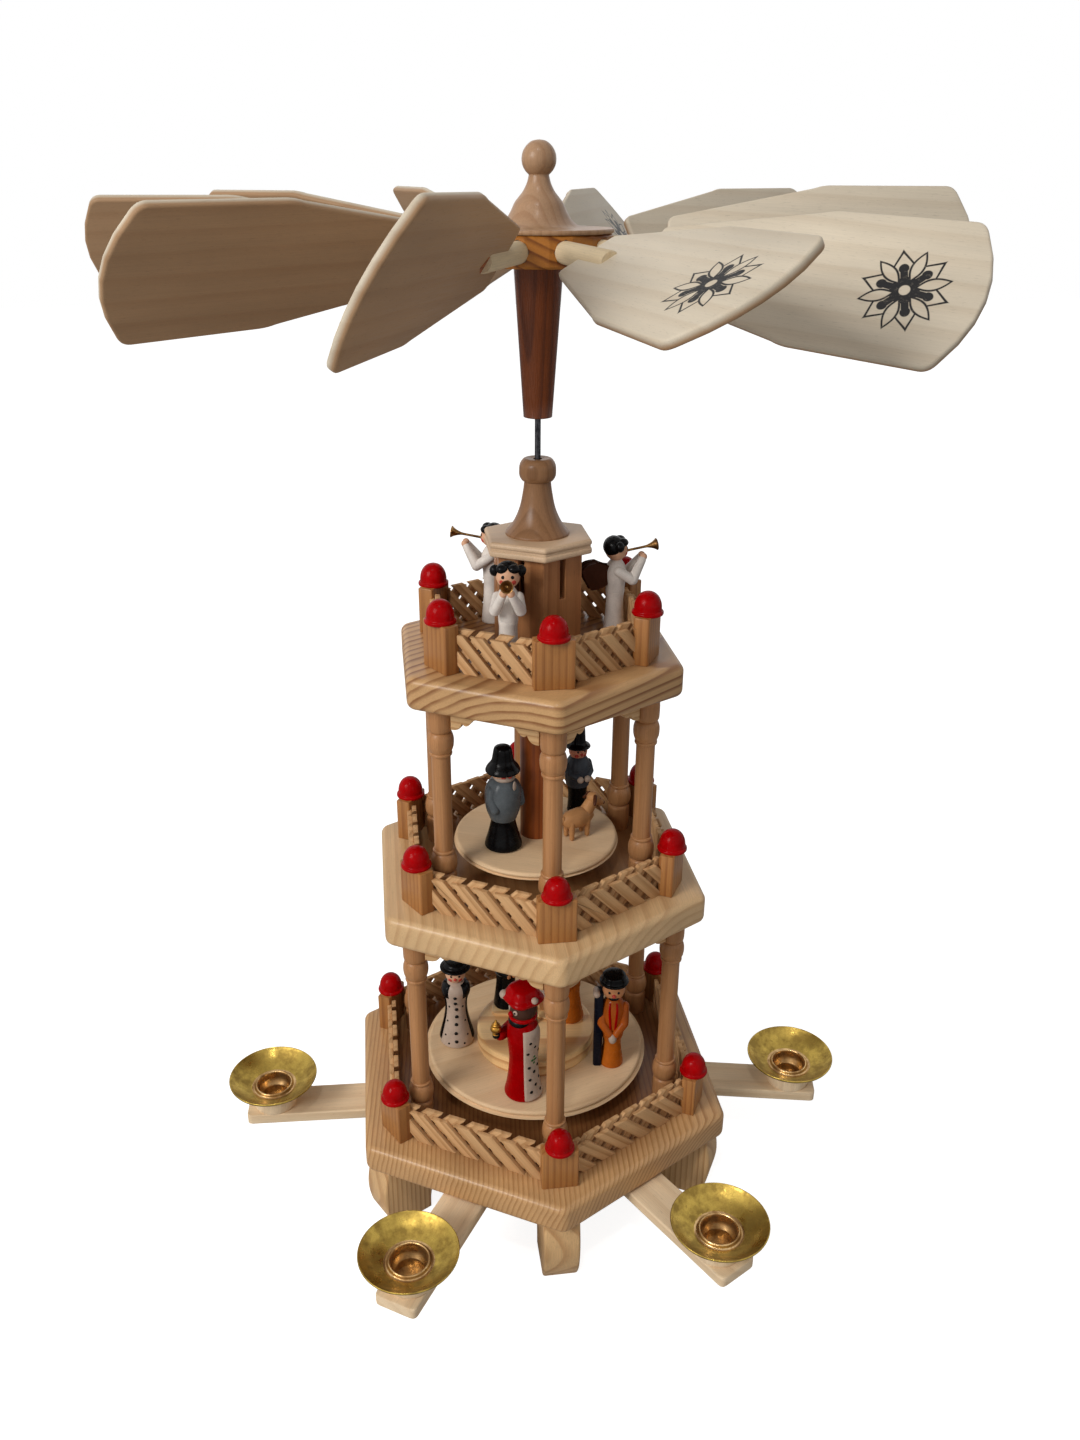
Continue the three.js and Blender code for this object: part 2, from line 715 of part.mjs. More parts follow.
function hub() {
  let body = solid(turned([
    [rodBore, hubBottom],
    [hubRadius - hubEdge, hubBottom],
    [hubRadius, hubBottom + hubEdge],
    [hubRadius, hubTop - hubEdge],
    [hubRadius - hubEdge, hubTop],
    [rodBore, hubTop],
    [rodBore, hubBottom],
  ], hubSteps));
  const hole = cylinder(pegRadius + seatGap, pegInnerRadius - seatGap, hubRadius + overrun, pegSteps)
    .rotateY(Math.PI / 2).translate(0, 0, hubMiddle);
  for (let i = 0; i < bladeCount; i += 1) {
    body = body.subtract(solid(hole.clone().rotateZ(radians(bladeAngle(i)))));
  }
  return body;
}

function finial() {
  const ballMiddle = hubTop + finialHeight - finialBallRadius;
  const neckTop = ballMiddle - Math.sqrt(finialBallRadius ** 2 - finialNeckRadius ** 2);
  const seat = Math.asin(finialNeckRadius / finialBallRadius);
  const ball = Array.from({ length: finialBallSteps }, (_, i) => {
    const angle = seat + (Math.PI - seat) * (i + 1) / finialBallSteps;
    const across = i + 1 === finialBallSteps ? 0 : finialBallRadius * Math.sin(angle);
    return [across, ballMiddle - finialBallRadius * Math.cos(angle)];
  });
  return turned([
    [0, hubTop],
    [hubRadius, hubTop],
    [hubRadius, hubTop + finialRimThickness],
    ...finialFlareShares.map(([across, up]) => [
      Math.max(finialFlareRadius * across, finialNeckRadius),
      hubTop + finialRimThickness + (neckTop - hubTop - finialRimThickness) * up,
    ]),
    [finialNeckRadius, neckTop],
    ...ball,
  ], spireSteps);
}

// The leaf's outline is symmetric about the peg, and its outer end is an arc between rounded corners
function bladeShape() {
  const startX = bladeCornerRadius - bladeEdgeRound;
  const endX = bladeCornerRadius + bladeEdgeRound / 2;
  const endY = bladeCornerHalfWidth - bladeEdgeRound;
  const shape = new THREE.Shape();
  shape.moveTo(bladeRootRadius, -bladeRootHalfWidth);
  shape.lineTo(bladeShoulderRadius, -bladeShoulderHalfWidth);
  shape.lineTo(startX, -bladeCornerHalfWidth);
  shape.quadraticCurveTo(bladeCornerRadius, -bladeCornerHalfWidth, endX, -endY);
  shape.quadraticCurveTo(2 * bladeTipRadius - endX, 0, endX, endY);
  shape.quadraticCurveTo(bladeCornerRadius, bladeCornerHalfWidth, startX, bladeCornerHalfWidth);
  shape.lineTo(bladeShoulderRadius, bladeShoulderHalfWidth);
  shape.lineTo(bladeRootRadius, bladeRootHalfWidth);
  shape.closePath();
  return shape;
}

function blade(i) {
  const leaf = slab(bladeShape(), -bladeThickness / 2, bladeThickness, 0, bladeArcSteps);
  const peg = cylinder(pegRadius, pegInnerRadius, pegInnerRadius + pegLength, pegSteps).rotateY(Math.PI / 2);
  return solid(leaf)
    .add(solid(peg))
    .rotate([bladePitch + bladePitchOffsets[i], 0, 0])
    .rotate([0, 0, bladeAngle(i)])
    .translate([0, 0, hubMiddle]);
}

// Figures

const scaled = (shares, size) => shares.map((pair) => pair.map((share) => share * size));
const placeOf = (shares, size) => new THREE.Vector3(...shares).multiplyScalar(size);

function ball(size, place, steps = figureSteps) {
  const geometry = new THREE.SphereGeometry(size, steps, steps / 2).rotateX(Math.PI / 2);
  return solid(geometry.translate(place.x, place.y, place.z));
}

// A round bar between two points, which may be thicker at one end
function bar(from, to, startSize, endSize = startSize) {
  const way = to.clone().sub(from);
  const geometry = new THREE.CylinderGeometry(endSize, startSize, way.length(), handSteps);
  geometry.translate(0, way.length() / 2, 0);
  const turn = new THREE.Quaternion().setFromUnitVectors(THREE.Object3D.DEFAULT_UP, way.normalize());
  return solid(geometry.applyQuaternion(turn).translate(from.x, from.y, from.z));
}

// A flat sawn outline set upright in the plane that the figure faces along
function sawn(height, outline, thicknessShare, sideShare = 0) {
  const shape = new THREE.Shape(scaled(outline, height).map(([x, y]) => new THREE.Vector2(x, y)));
  const thickness = thicknessShare * height;
  const board = slab(shape, -thickness / 2, thickness, 0).rotateX(Math.PI / 2);
  return solid(board.translate(0, sideShare * height, 0));
}

function arm(height, side, handShares) {
  const size = armThicknessShare * height;
  const [forward, across, up] = shoulderShares;
  const shoulder = placeOf([forward, side * across, up], height);
  const hand = placeOf(handShares, height);
  return bar(shoulder, hand, size).add(ball(size, hand, handSteps));
}

function person(height, { body, hat, head, skull, hands }) {
  const [right, left] = hands;
  return joined([
    solid(turned(scaled(body, height), figureSteps)),
    ball(skull * height, placeOf([0, 0, head], height)),
    solid(turned(scaled(hat, height), figureSteps)),
    arm(height, -1, right),
    arm(height, 1, left),
  ]);
}

const redKing = (height) =>
  person(height, redKingShares).add(ball(giftSizeShare * height, placeOf(redKingGiftShares, height)));

const yellowKing = (height) =>
  person(height, yellowKingShares).add(sawn(height, capeShares, capeThicknessShare, capeSideShare));

function angel(height) {
  const { mouth, bell, tube, flare } = trumpetShares;
  const trumpet = bar(placeOf(mouth, height), placeOf(bell, height), tube * height, flare * height);
  const [forward, across, up] = bunShares;
  const pairs = [-1, 1].map((side) => {
    const bun = ball(bunSizeShare * height, placeOf([forward, side * across, up], height));
    return bun.add(sawn(height, wingShares, wingThicknessShare).rotate([0, 0, side * wingSweep]));
  });
  return joined([person(height, angelShares), trumpet, ...pairs]);
}

function sheep(length) {
  const { girth, head, leg, step } = sheepShares;
  const [rump, chest, crown, nose] = ['rump', 'chest', 'crown', 'nose']
    .map((name) => placeOf(sheepPlaceShares[name], length));
  const legs = [rump, chest].flatMap((top) => [-1, 1].map((side) => {
    const hip = top.clone().setY(side * step * length);
    return bar(hip.clone().setZ(0), hip, leg * length);
  }));
  return joined([
    bar(rump, chest, girth * length),
    ball(girth * length, rump),
    ball(girth * length, chest),
    bar(chest, crown, head * length),
    ball(head * length, crown),
    bar(crown, nose, head * length, leg * length),
    ...legs,
  ]);
}

// A body turned to its heading and set down at its place on a floor of that radius and height
function standing(body, { ringShare, angle, heading }, { radius, top }) {
  const place = polar(radius * ringShare, radians(angle));
  return body.rotate([0, 0, heading]).translate([place.x, place.y, top]);
}

const lowerTableFloor = { radius: lowerTableRadius, top: lowerTableTop };
const platformFloor = { radius: platformRadius, top: platformTop };
const upperTableFloor = { radius: upperTableRadius, top: upperTableTop };
const upperPlateFloor = { radius: upperFenceRing, top: upperTop };

// The family group stands on one thin sawn floor, on the round platform
function holyFamily() {
  const outline = scaled(familyFloorShares, platformRadius).map(([x, y]) => new THREE.Vector2(x, y));
  return joined([
    solid(slab(new THREE.Shape(outline), platformTop, familyFloorThickness, 0)),
    standing(person(motherHeight, motherShares), motherPlace, platformFloor),
    standing(person(fatherHeight, fatherShares), fatherPlace, platformFloor),
    standing(solid(block(cradleWidth, cradleDepth, 0, cradleHeight)), cradlePlace, platformFloor),
  ]);
}

// The whole pyramid

piece('base_plate', basePlate(), materials.pine);
piece('middle_plate', platedStorey(middlePlateRadius, middleBottom, lowerColumnRing), materials.pine);
piece('upper_plate', platedStorey(upperPlateRadius, upperBottom, upperColumnRing), materials.pine);

const columnAt = (height, ring, floor, i) => {
  const seat = polar(ring, cornerAngle(i));
  return column(height).translate(seat.x, seat.y, floor);
};
for (let i = 0; i < sides; i += 1) {
  piece(`foot_${i + 1}`, foot(i), materials.pine);
  piece(`lower_column_${i + 1}`, columnAt(lowerColumnHeight, lowerColumnRing, baseTop, i), materials.beech);
  piece(`upper_column_${i + 1}`, columnAt(upperColumnHeight, upperColumnRing, middleTop, i), materials.beech);
}

const lowerFence = fence(lowerFenceRing, lowerLatticeCells);
const middleFence = fence(middleFenceRing, middleLatticeCells);
const upperFence = fence(upperFenceRing, upperLatticeCells);
piece('lower_fence', lowerFence.translate([0, 0, baseTop]), materials.lattice);
piece('middle_fence', middleFence.translate([0, 0, middleTop]), materials.lattice);
piece('upper_fence', upperFence.translate([0, 0, upperTop]), materials.lattice);

armDirections.forEach((_, i) => {
  piece(`candle_arm_${i + 1}`, candleArm(i), materials.pine);
  piece(`candle_dish_${i + 1}`, candleDish(i), materials.brass);
});

piece('rod', rod(), materials.steel);
piece('lower_turntable', lowerTable(), materials.plywood);
piece('upper_turntable', upperTable(), materials.plywood);
piece('lantern_housing', lanternHousing(), materials.beech);
piece('lantern_roof', lanternRoof(), materials.beech);
piece('rotor_sleeve', rotorSleeve(), materials.darkWood);
piece('rotor_hub', hub(), materials.grainedPine);
piece('finial', finial(), materials.beech);
for (let i = 0; i < bladeCount; i += 1) piece(`blade_${i + 1}`, blade(i), materials.plywood);

const { red_king: red, white_king: white, yellow_king: yellow } = lowerTablePlaces;
piece('red_king', standing(redKing(red.height), red, lowerTableFloor), materials.redPaint);
const whiteKing = person(white.height, whiteKingShares);
piece('white_king', standing(whiteKing, white, lowerTableFloor), materials.whitePaint);
piece('yellow_king', standing(yellowKing(yellow.height), yellow, lowerTableFloor), materials.yellowPaint);
piece('holy_family', holyFamily(), materials.yellowPaint);
for (const [name, place] of Object.entries(upperTablePlaces)) {
  piece(name, standing(person(place.height, shepherdShares), place, upperTableFloor), materials.greyPaint);
}
piece('sheep', standing(sheep(sheepLength), sheepPlace, upperTableFloor), materials.lattice);
for (const [name, place] of Object.entries(upperPlatePlaces)) {
  piece(name, standing(angel(place.height), place, upperPlateFloor), materials.bluePaint);
}

export default pyramid;
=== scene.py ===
# %% [markdown]
# # A candle pyramid in wood, brass and paint
#
# The pyramid is a small carousel. Warm air from candles turns ten thin blades, and their steel rod turns two
# round tables of painted figures. This lesson dresses the measured solids with smooth turned wood, crossed lattice
# strips, brass dishes and lacquered figures. Each new piece rides on the body that its solid rides on.

# %% The frame
import math

import bmesh
import bpy
import numpy as np
from mathutils import Matrix


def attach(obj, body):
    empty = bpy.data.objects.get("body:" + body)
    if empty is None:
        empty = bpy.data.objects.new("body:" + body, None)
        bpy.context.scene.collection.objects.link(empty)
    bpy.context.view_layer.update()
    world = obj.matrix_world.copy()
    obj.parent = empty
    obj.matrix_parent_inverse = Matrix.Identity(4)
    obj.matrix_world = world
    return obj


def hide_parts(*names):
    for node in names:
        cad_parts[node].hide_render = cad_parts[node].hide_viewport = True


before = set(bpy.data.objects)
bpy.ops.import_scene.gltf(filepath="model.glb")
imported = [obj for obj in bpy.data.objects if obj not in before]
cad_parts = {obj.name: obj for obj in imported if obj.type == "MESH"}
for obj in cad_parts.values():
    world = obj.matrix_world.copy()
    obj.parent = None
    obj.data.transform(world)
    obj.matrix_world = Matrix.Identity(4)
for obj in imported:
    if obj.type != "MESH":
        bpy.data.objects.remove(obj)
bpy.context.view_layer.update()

MM = 0.001
rng = np.random.default_rng(24)

# %% [markdown]
# ## Parts as grids of points
#
# Almost everything here is a surface with two parameters: one runs along a profile and the other runs round it.
# Such a surface is a grid of points, so its faces come from one small table of indices. A part keeps its points in
# millimetres, its faces, its finish, and one thing more: where each point lay in the board that the part was
# cut from, with X along the grain. The wood finishes read that, so the grain follows each board and not the room.


# %% Grids and parts
def unit(vector):
    """The vector divided by its own length."""
    vector = np.asarray(vector, float)
    return vector / np.linalg.norm(vector)


def grid_faces(rows, columns, loop_rows=False, loop_columns=True):
    """Quads between point (row, column) and its next neighbours. A looped side joins its last line to its first."""
    row = np.arange(rows if loop_rows else rows - 1)[:, None]
    column = np.arange(columns if loop_columns else columns - 1)[None, :]
    row, column = np.broadcast_arrays(row, column)
    up, beside = (row + 1) % rows, (column + 1) % columns
    quads = [row * columns + column, row * columns + beside, up * columns + beside, up * columns + column]
    return np.stack(quads, -1).reshape(-1, 4).tolist()


def part(points, faces, finish, grain=(0, 0, 1), pith=(14, 9)):
    """A part and its board places: along the grain, and across it in two directions, counted from the tree's middle."""
    points = np.asarray(points, float).reshape(-1, 3)
    along = unit(grain)
    across = unit(np.cross((0, 0, 1), along)) if abs(along[2]) < 0.9 else np.array((1.0, 0, 0))
    frame_axes = np.stack([along, across, np.cross(along, across)])
    start = np.array([0, *pith]) + rng.uniform(-1, 1, 3) * (60, 2, 2)
    return {"points": points, "faces": faces, "finish": finish, "board": points @ frame_axes.T + start}


def turn(axis, degrees):
    """Rotation matrix about one axis: the other two axes mix by the angle's cosine and sine."""
    c, s = math.cos(math.radians(degrees)), math.sin(math.radians(degrees))
    rows = {"x": [[1, 0, 0], [0, c, -s], [0, s, c]], "y": [[c, 0, s], [0, 1, 0], [-s, 0, c]],
            "z": [[c, -s, 0], [s, c, 0], [0, 0, 1]]}
    return np.array(rows[axis], float)


def moved(parts, matrix=None, offset=(0, 0, 0), size=1.0):
    """Each part's points times the matrix and the size, plus the offset. The board places grow with the size alone."""
    matrix = np.eye(3) if matrix is None else matrix
    return [dict(p, points=p["points"] @ matrix.T * size + np.asarray(offset, float), board=p["board"] * size)
            for p in parts]


print("faces round a grid of 2 rows and 6 columns:", len(grid_faces(2, 6)))


# %% Lines
def curve(points, samples=5):
    """A smooth line through the points: between two of them it is the cubic that starts and ends with half the step
    between their neighbours. A point given twice is a corner."""
    p = np.asarray(points, float)
    ends = np.vstack([p[:1], p, p[-1:]])
    slope = (ends[2:] - ends[:-2]) / 2
    same = np.linalg.norm(np.diff(p, axis=0), axis=1) < 1e-9
    slope[:-1][same] = 0
    slope[1:][same] = 0
    t = np.linspace(0, 1, samples, endpoint=False)[None, :, None]
    a, b, m, n = (x[~same][:, None] for x in (p[:-1], p[1:], slope[:-1], slope[1:]))
    line = (2 * t**3 - 3 * t**2 + 1) * a + (t**3 - 2 * t**2 + t) * m + (3 * t**2 - 2 * t**3) * b + (t**3 - t**2) * n
    return np.vstack([line.reshape(-1, p.shape[1]), p[-1:]])


def corners(*points):
    """The same line with every point doubled, so that all of them stay corners."""
    return [p for p in points for _ in (0, 1)]


def round_corners(points, size, steps=4):
    """Each corner becomes a curve between the points at that distance before and after it: their quadratic blend."""
    points = np.asarray(points, float)
    before, after = np.roll(points, 1, 0), np.roll(points, -1, 0)
    start = points + size * (before - points) / np.linalg.norm(before - points, axis=1)[:, None]
    end = points + size * (after - points) / np.linalg.norm(after - points, axis=1)[:, None]
    t = np.linspace(0, 1, steps)[None, :, None]
    return ((1 - t) ** 2 * start[:, None] + 2 * t * (1 - t) * points[:, None] + t**2 * end[:, None]).reshape(-1, 2)


print("points on a line through four places:", len(curve([(0, 0), (1, 1), (2, 1), (3, 0)])))


# %% [markdown]
# ## The four ways to make a part
#
# A lathe turns a profile round an axis. A slab pushes an outline up and rolls its edge over in a quarter circle. A
# limb is a bar that changes thickness, with round ends. A wrap is a thin layer on a turned body that covers only
# part of the way round, such as a cape or a painted stole.


# %% Lathe and slab
def lathe(profile, finish, steps=48, closed=False, pith=(14, 9), grain=(0, 0, 1)):
    """Surface of revolution: at angle a and profile place t the point is (r(t) cos a, r(t) sin a, z(t))."""
    profile = np.asarray(profile, float)
    a = np.linspace(0, 2 * math.pi, steps, endpoint=False)
    r, z = profile[:, :1], profile[:, 1:]
    points = np.stack([r * np.cos(a), r * np.sin(a), z + 0 * a], -1)
    return part(points, grid_faces(len(profile), steps, loop_rows=closed), finish, grain, pith)


def slab(outline, low, high, finish, edge=0.5, steps=3, grain=(1, 0, 0), pith=(14, 9)):
    """An outline pushed up from low to high. Near each rim the outline moves in by edge times (1 - cos p) while the
    height moves by edge times sin p, so the edge is a quarter circle."""
    line = np.asarray(outline, float)
    step = np.roll(line, -1, 0) - line
    out = np.stack([step[:, 1], -step[:, 0]], 1) / np.linalg.norm(step, axis=1)[:, None]
    back = np.roll(out, 1, 0)
    mitre = (out + back) / np.maximum(1 + (out * back).sum(1), 0.4)[:, None]
    p = np.linspace(0, math.pi / 2, steps + 1)
    inset = np.concatenate([edge * (1 - np.cos(p))[::-1], edge * (1 - np.cos(p))])
    level = np.concatenate([low + edge * (1 - np.sin(p))[::-1], high - edge * (1 - np.sin(p))])
    flat = line[None] - inset[:, None, None] * mitre[None]
    points = np.concatenate([flat, np.broadcast_to(level[:, None, None], flat.shape[:2] + (1,))], -1)
    rows, columns = flat.shape[:2]
    caps = [list(range(columns))[::-1], [(rows - 1) * columns + i for i in range(columns)]]
    return part(points, grid_faces(rows, columns) + caps, finish, grain, pith)


# %% Limb and ball
def axes_to(direction):
    """A rotation that turns +Z to the direction: its columns are two square axes and the direction itself."""
    w = unit(direction)
    u = unit(np.cross((0, 1, 0) if abs(w[1]) < 0.9 else (1, 0, 0), w))
    return np.stack([u, np.cross(w, u), w], 1)


def limb(start, end, finish, thick, thin=None, steps=16):
    """A round bar between two points: its radius goes evenly from thick to thin, and each end is a half ball."""
    thin = thick if thin is None else thin
    start, end = np.asarray(start, float), np.asarray(end, float)
    length = np.linalg.norm(end - start)
    a = np.linspace(0, math.pi / 2, 6)
    lower = np.stack([thick * np.sin(a), -thick * np.cos(a)], 1)
    upper = np.stack([thin * np.cos(a), length + thin * np.sin(a)], 1)
    bar = lathe(np.vstack([lower, upper]), finish, steps)
    return moved([bar], axes_to(end - start), start)[0]


def ball(centre, size, finish, steps=20, facing=None):
    """A ball stretched along its axes: each unit direction times the three half sizes."""
    half = np.broadcast_to(np.asarray(size, float), (3,))
    a = np.linspace(-math.pi / 2, math.pi / 2, steps // 2 + 1)
    round_one = lathe(np.stack([np.cos(a), np.sin(a)], 1), finish, steps)
    round_one["points"] = round_one["points"] * half
    return moved([round_one], None if facing is None else axes_to(facing), centre)[0]


print("upright axes:", axes_to((0, 0, 1)).round(1).tolist())


# %% Wrap and painted dots
def wrap(profile, start, end, finish, proud, steps=24, slant=0.0):
    """A thin closed layer on a turned body, from one angle to another: the outer sheet is the body's radius plus
    proud, the inner sheet lies just under the body's surface, and the two meet along the rim. The slant turns the
    angles as the layer rises."""
    line = np.asarray(profile, float)
    u, v = np.linspace(0, 1, steps)[None], np.linspace(0, 1, len(line))[:, None]
    a = np.radians(start + (end - start) * u + slant * v)
    rim = np.minimum(1, 6 * np.minimum(u * (1 - u), v * (1 - v)) ** 0.5)
    outer, inner = line[:, :1] + proud * rim, line[:, :1] - 0.35 * proud * rim
    sheets = [np.stack([r * np.cos(a), r * np.sin(a), line[:, 1:] + 0 * a], -1) for r in (outer, inner)]
    faces = grid_faces(len(line), steps, loop_columns=False)
    count = len(line) * steps
    under = [[count + i for i in reversed(quad)] for quad in faces]
    return part(np.concatenate([s.reshape(-1, 3) for s in sheets]), faces + under, finish)


def on_body(profile, angle, height, proud=0.0):
    """The point at an angle and height on a turned body, a little proud of it."""
    line = np.asarray(profile, float)
    order = np.argsort(line[:, 1], kind="stable")
    r = np.interp(height, line[order, 1], line[order, 0]) + proud
    return np.array([r * math.cos(math.radians(angle)), r * math.sin(math.radians(angle)), height])


def spot(profile, angle, height, size, finish, flat=0.3):
    """A painted dot: a ball that is flat along the surface's outward direction."""
    place = on_body(profile, angle, height)
    return ball(place, (size, size, size * flat), finish, 10, facing=(place[0], place[1], 0))


print("a painted dot on a rod of radius 5 sits at", on_body([(5, 0), (5, 9)], 90, 4).round(2))

# %% [markdown]
# ## From parts to a piece
#
# A piece on the shelf is glued up from parts with several finishes, and here it becomes one mesh with one material
# for each finish. It rides on its body, and it takes the place of the solid that it dresses.


# %% A piece is one mesh on one body
made = []
materials = {}


def piece(name, parts, body, nodes, smooth=38):
    """One object from its parts: doubles are merged, faces turned outwards, and edges sharper than smooth degrees
    stay crisp."""
    finishes = sorted({p["finish"] for p in parts})
    faces, index, start = [], [], 0
    for p in parts:
        faces += [[i + start for i in face] for face in p["faces"]]
        index += [finishes.index(p["finish"])] * len(p["faces"])
        start += len(p["points"])
    mesh = bpy.data.meshes.new(name)
    mesh.from_pydata((np.concatenate([p["points"] for p in parts]) * MM).tolist(), [], faces)
    for key in ("board", "leaf") if "leaf" in parts[0] else ("board",):
        places = mesh.attributes.new(key, "FLOAT_VECTOR", "POINT")
        places.data.foreach_set("vector", np.concatenate([p[key] for p in parts]).ravel())
    mesh.polygons.foreach_set("material_index", index)
    bm = bmesh.new()
    bm.from_mesh(mesh)
    bmesh.ops.remove_doubles(bm, verts=bm.verts, dist=5e-7)
    bmesh.ops.recalc_face_normals(bm, faces=bm.faces)
    bm.to_mesh(mesh)
    bm.free()
    for finish in finishes:
        mesh.materials.append(materials[finish])
    mesh.shade_smooth()
    mesh.set_sharp_from_angle(angle=math.radians(smooth))
    obj = bpy.data.objects.new(name, mesh)
    bpy.context.scene.collection.objects.link(obj)
    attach(obj, body)
    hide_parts(*nodes)
    made.append(obj)
    return obj


# %% [markdown]
# ## Finishes
#
# Wood is the main finish. Its growth rings are nested tubes round the tree's middle, stretched along the grain, so
# a wave texture in ring form draws them on the board places that each part carries. A saw-shaped wave gives the
# slow change to dark late wood and the quick change back. Fine fibres come from noise squeezed across the grain.
# Rings and fibres both drive the bump, and the fibres drive the roughness, because varnish sinks into the soft wood a
# little.


# %% Colours and new materials
def tone(red, green, blue):
    """Screen colour from 0 to 255 as linear light: the usual power curve with its straight foot."""
    c = np.array([red, green, blue]) / 255
    return (*np.where(c <= 0.04045, c / 12.92, ((c + 0.055) / 1.055) ** 2.4).tolist(), 1.0)


def put(tree, kind, inputs=None, **fields):
    """Adds a node, sets its fields, and gives each input a number, a colour or another node's output."""
    node = tree.nodes.new("ShaderNode" + kind)
    for key, value in fields.items():
        setattr(node, key, value)
    for key, value in (inputs or {}).items():
        if isinstance(value, bpy.types.NodeSocket):
            tree.links.new(value, node.inputs[key])
        else:
            node.inputs[key].default_value = value
    return node


board_source = {}


def blank(name, solid_turn=None):
    """A new material with one shader joined to its output. Its places are the parts' board places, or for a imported
    solid the object's own coordinates in millimetres, turned."""
    material = bpy.data.materials.new(name)
    material.use_nodes = True
    tree = material.node_tree
    tree.nodes.clear()
    if solid_turn is None:
        board_source[tree] = put(tree, "Attribute", attribute_name="board").outputs["Vector"]
    else:
        own = put(tree, "TexCoord").outputs["Object"]
        board_source[tree] = put(tree, "Mapping", {"Vector": own, "Scale": (1000, 1000, 1000),
                                                   "Rotation": solid_turn}).outputs[0]
    shader = put(tree, "BsdfPrincipled")
    output = put(tree, "OutputMaterial")
    tree.links.new(shader.outputs[0], output.inputs[0])
    materials[name] = material
    return tree, shader


print("middle grey as light:", round(tone(128, 128, 128)[0], 3))


# %% Noise, sums and blends
def board_places(tree, scale=(1, 1, 1)):
    """The part's own board places in millimetres, scaled along the grain and across it."""
    return put(tree, "Mapping", {"Vector": board_source[tree], "Scale": scale}).outputs[0]


def noise(tree, scale, detail=3.0, roughness=0.55):
    """Noise on the board places, which a scale stretches along one axis or squeezes along another."""
    return put(tree, "TexNoise", {"Vector": board_places(tree, scale), "Scale": 1.0, "Detail": detail,
                                  "Roughness": roughness}).outputs[0]


def calc(tree, operation, first, second=0.0):
    """One sum on two numbers."""
    return put(tree, "Math", {0: first, 1: second}, operation=operation).outputs[0]


def fit(tree, value, low, high, first, last):
    """Maps a value from the range low to high onto the range first to last, and stops at the ends."""
    return put(tree, "MapRange", {"Value": value, "From Min": low, "From Max": high, "To Min": first,
                                  "To Max": last}).outputs[0]


def mix(tree, amount, first, second, blend="MIX"):
    """Blends two colours by an amount."""
    node = put(tree, "Mix", data_type="RGBA", blend_type=blend)
    for index, value in ((0, amount), (6, first), (7, second)):
        if isinstance(value, bpy.types.NodeSocket):
            tree.links.new(value, node.inputs[index])
        else:
            node.inputs[index].default_value = value
    return node.outputs[2]


def shade(tree, value):
    """The same grey in all three channels, to multiply a colour with."""
    return put(tree, "CombineColor", {"Red": value, "Green": value, "Blue": value}).outputs[0]


def bump(tree, shader, height, strength, distance):
    """Raises the surface where the height is bright."""
    node = put(tree, "Bump", {"Height": height, "Strength": strength, "Distance": distance})
    tree.links.new(node.outputs[0], shader.inputs["Normal"])


# %% Wood
def rings(tree, spacing, wobble):
    """Growth rings: a saw wave on the distance from the tree's middle, bent by noise."""
    return put(tree, "TexWave", {"Vector": board_places(tree, (0.09, 1, 1)), "Scale": 0.314 / spacing,
                                 "Distortion": wobble, "Detail": 2.0, "Detail Scale": 0.7, "Detail Roughness": 0.55},
               wave_type="RINGS", rings_direction="X", wave_profile="SAW").outputs[0]


def wood(name, early, late, spacing=3.0, wobble=2.0, dark=0.8, fleck=0.12, rough=0.42, coat=0.25, finish_to=None,
         solid_turn=None):
    """Early wood, darker late wood, blotches, fibres and flecks, under a thin varnish."""
    tree, shader = blank(name, solid_turn)
    ring = put(tree, "ValToRGB", {"Fac": rings(tree, spacing, wobble)})
    stops = ring.color_ramp.elements
    stops[0].position, stops[0].color = 0.0, (0.12, 0.12, 0.12, 1)
    stops[1].position, stops[1].color = 1.0, (0.2, 0.2, 0.2, 1)
    for place, level in ((0.12, 0.0), (0.5, 0.12), (0.82, 0.95), (0.93, 1.0)):
        stops.new(place).color = (level, level, level, 1)
    strength = fit(tree, noise(tree, (0.006, 0.09, 0.09), 2.0), 0.3, 0.7, dark * 0.55, dark)
    amount = calc(tree, "MULTIPLY", ring.outputs[0], strength)
    base = mix(tree, amount, early, late)
    blotch = fit(tree, noise(tree, (0.012, 0.05, 0.05), 3.0), 0.3, 0.7, 0.88, 1.08)
    fibre = noise(tree, (0.05, 2.6, 2.6), 3.0, 0.65)
    streak = fit(tree, fibre, 0.32, 0.68, 1 - fleck, 1 + fleck * 0.6)
    pore = fit(tree, noise(tree, (0.35, 5.0, 5.0), 1.0), 0.66, 0.74, 1.0, 0.78)
    toned = mix(tree, 1.0, base, shade(tree, blotch), "MULTIPLY")
    toned = mix(tree, 1.0, toned, shade(tree, streak), "MULTIPLY")
    toned = mix(tree, 1.0, toned, shade(tree, pore), "MULTIPLY")
    if finish_to:
        toned = finish_to(tree, toned)
    tree.links.new(toned, shader.inputs["Base Color"])
    gloss = fit(tree, fibre, 0.3, 0.7, rough - 0.07, rough + 0.1)
    tree.links.new(gloss, shader.inputs["Roughness"])
    shader.inputs["Specular IOR Level"].default_value = 0.2
    shader.inputs["Coat Weight"].default_value = coat
    shader.inputs["Coat Roughness"].default_value = 0.22
    relief = mix(tree, 0.35, shade(tree, fibre), ring.outputs[0])
    bump(tree, shader, relief, 0.22, 0.0002)


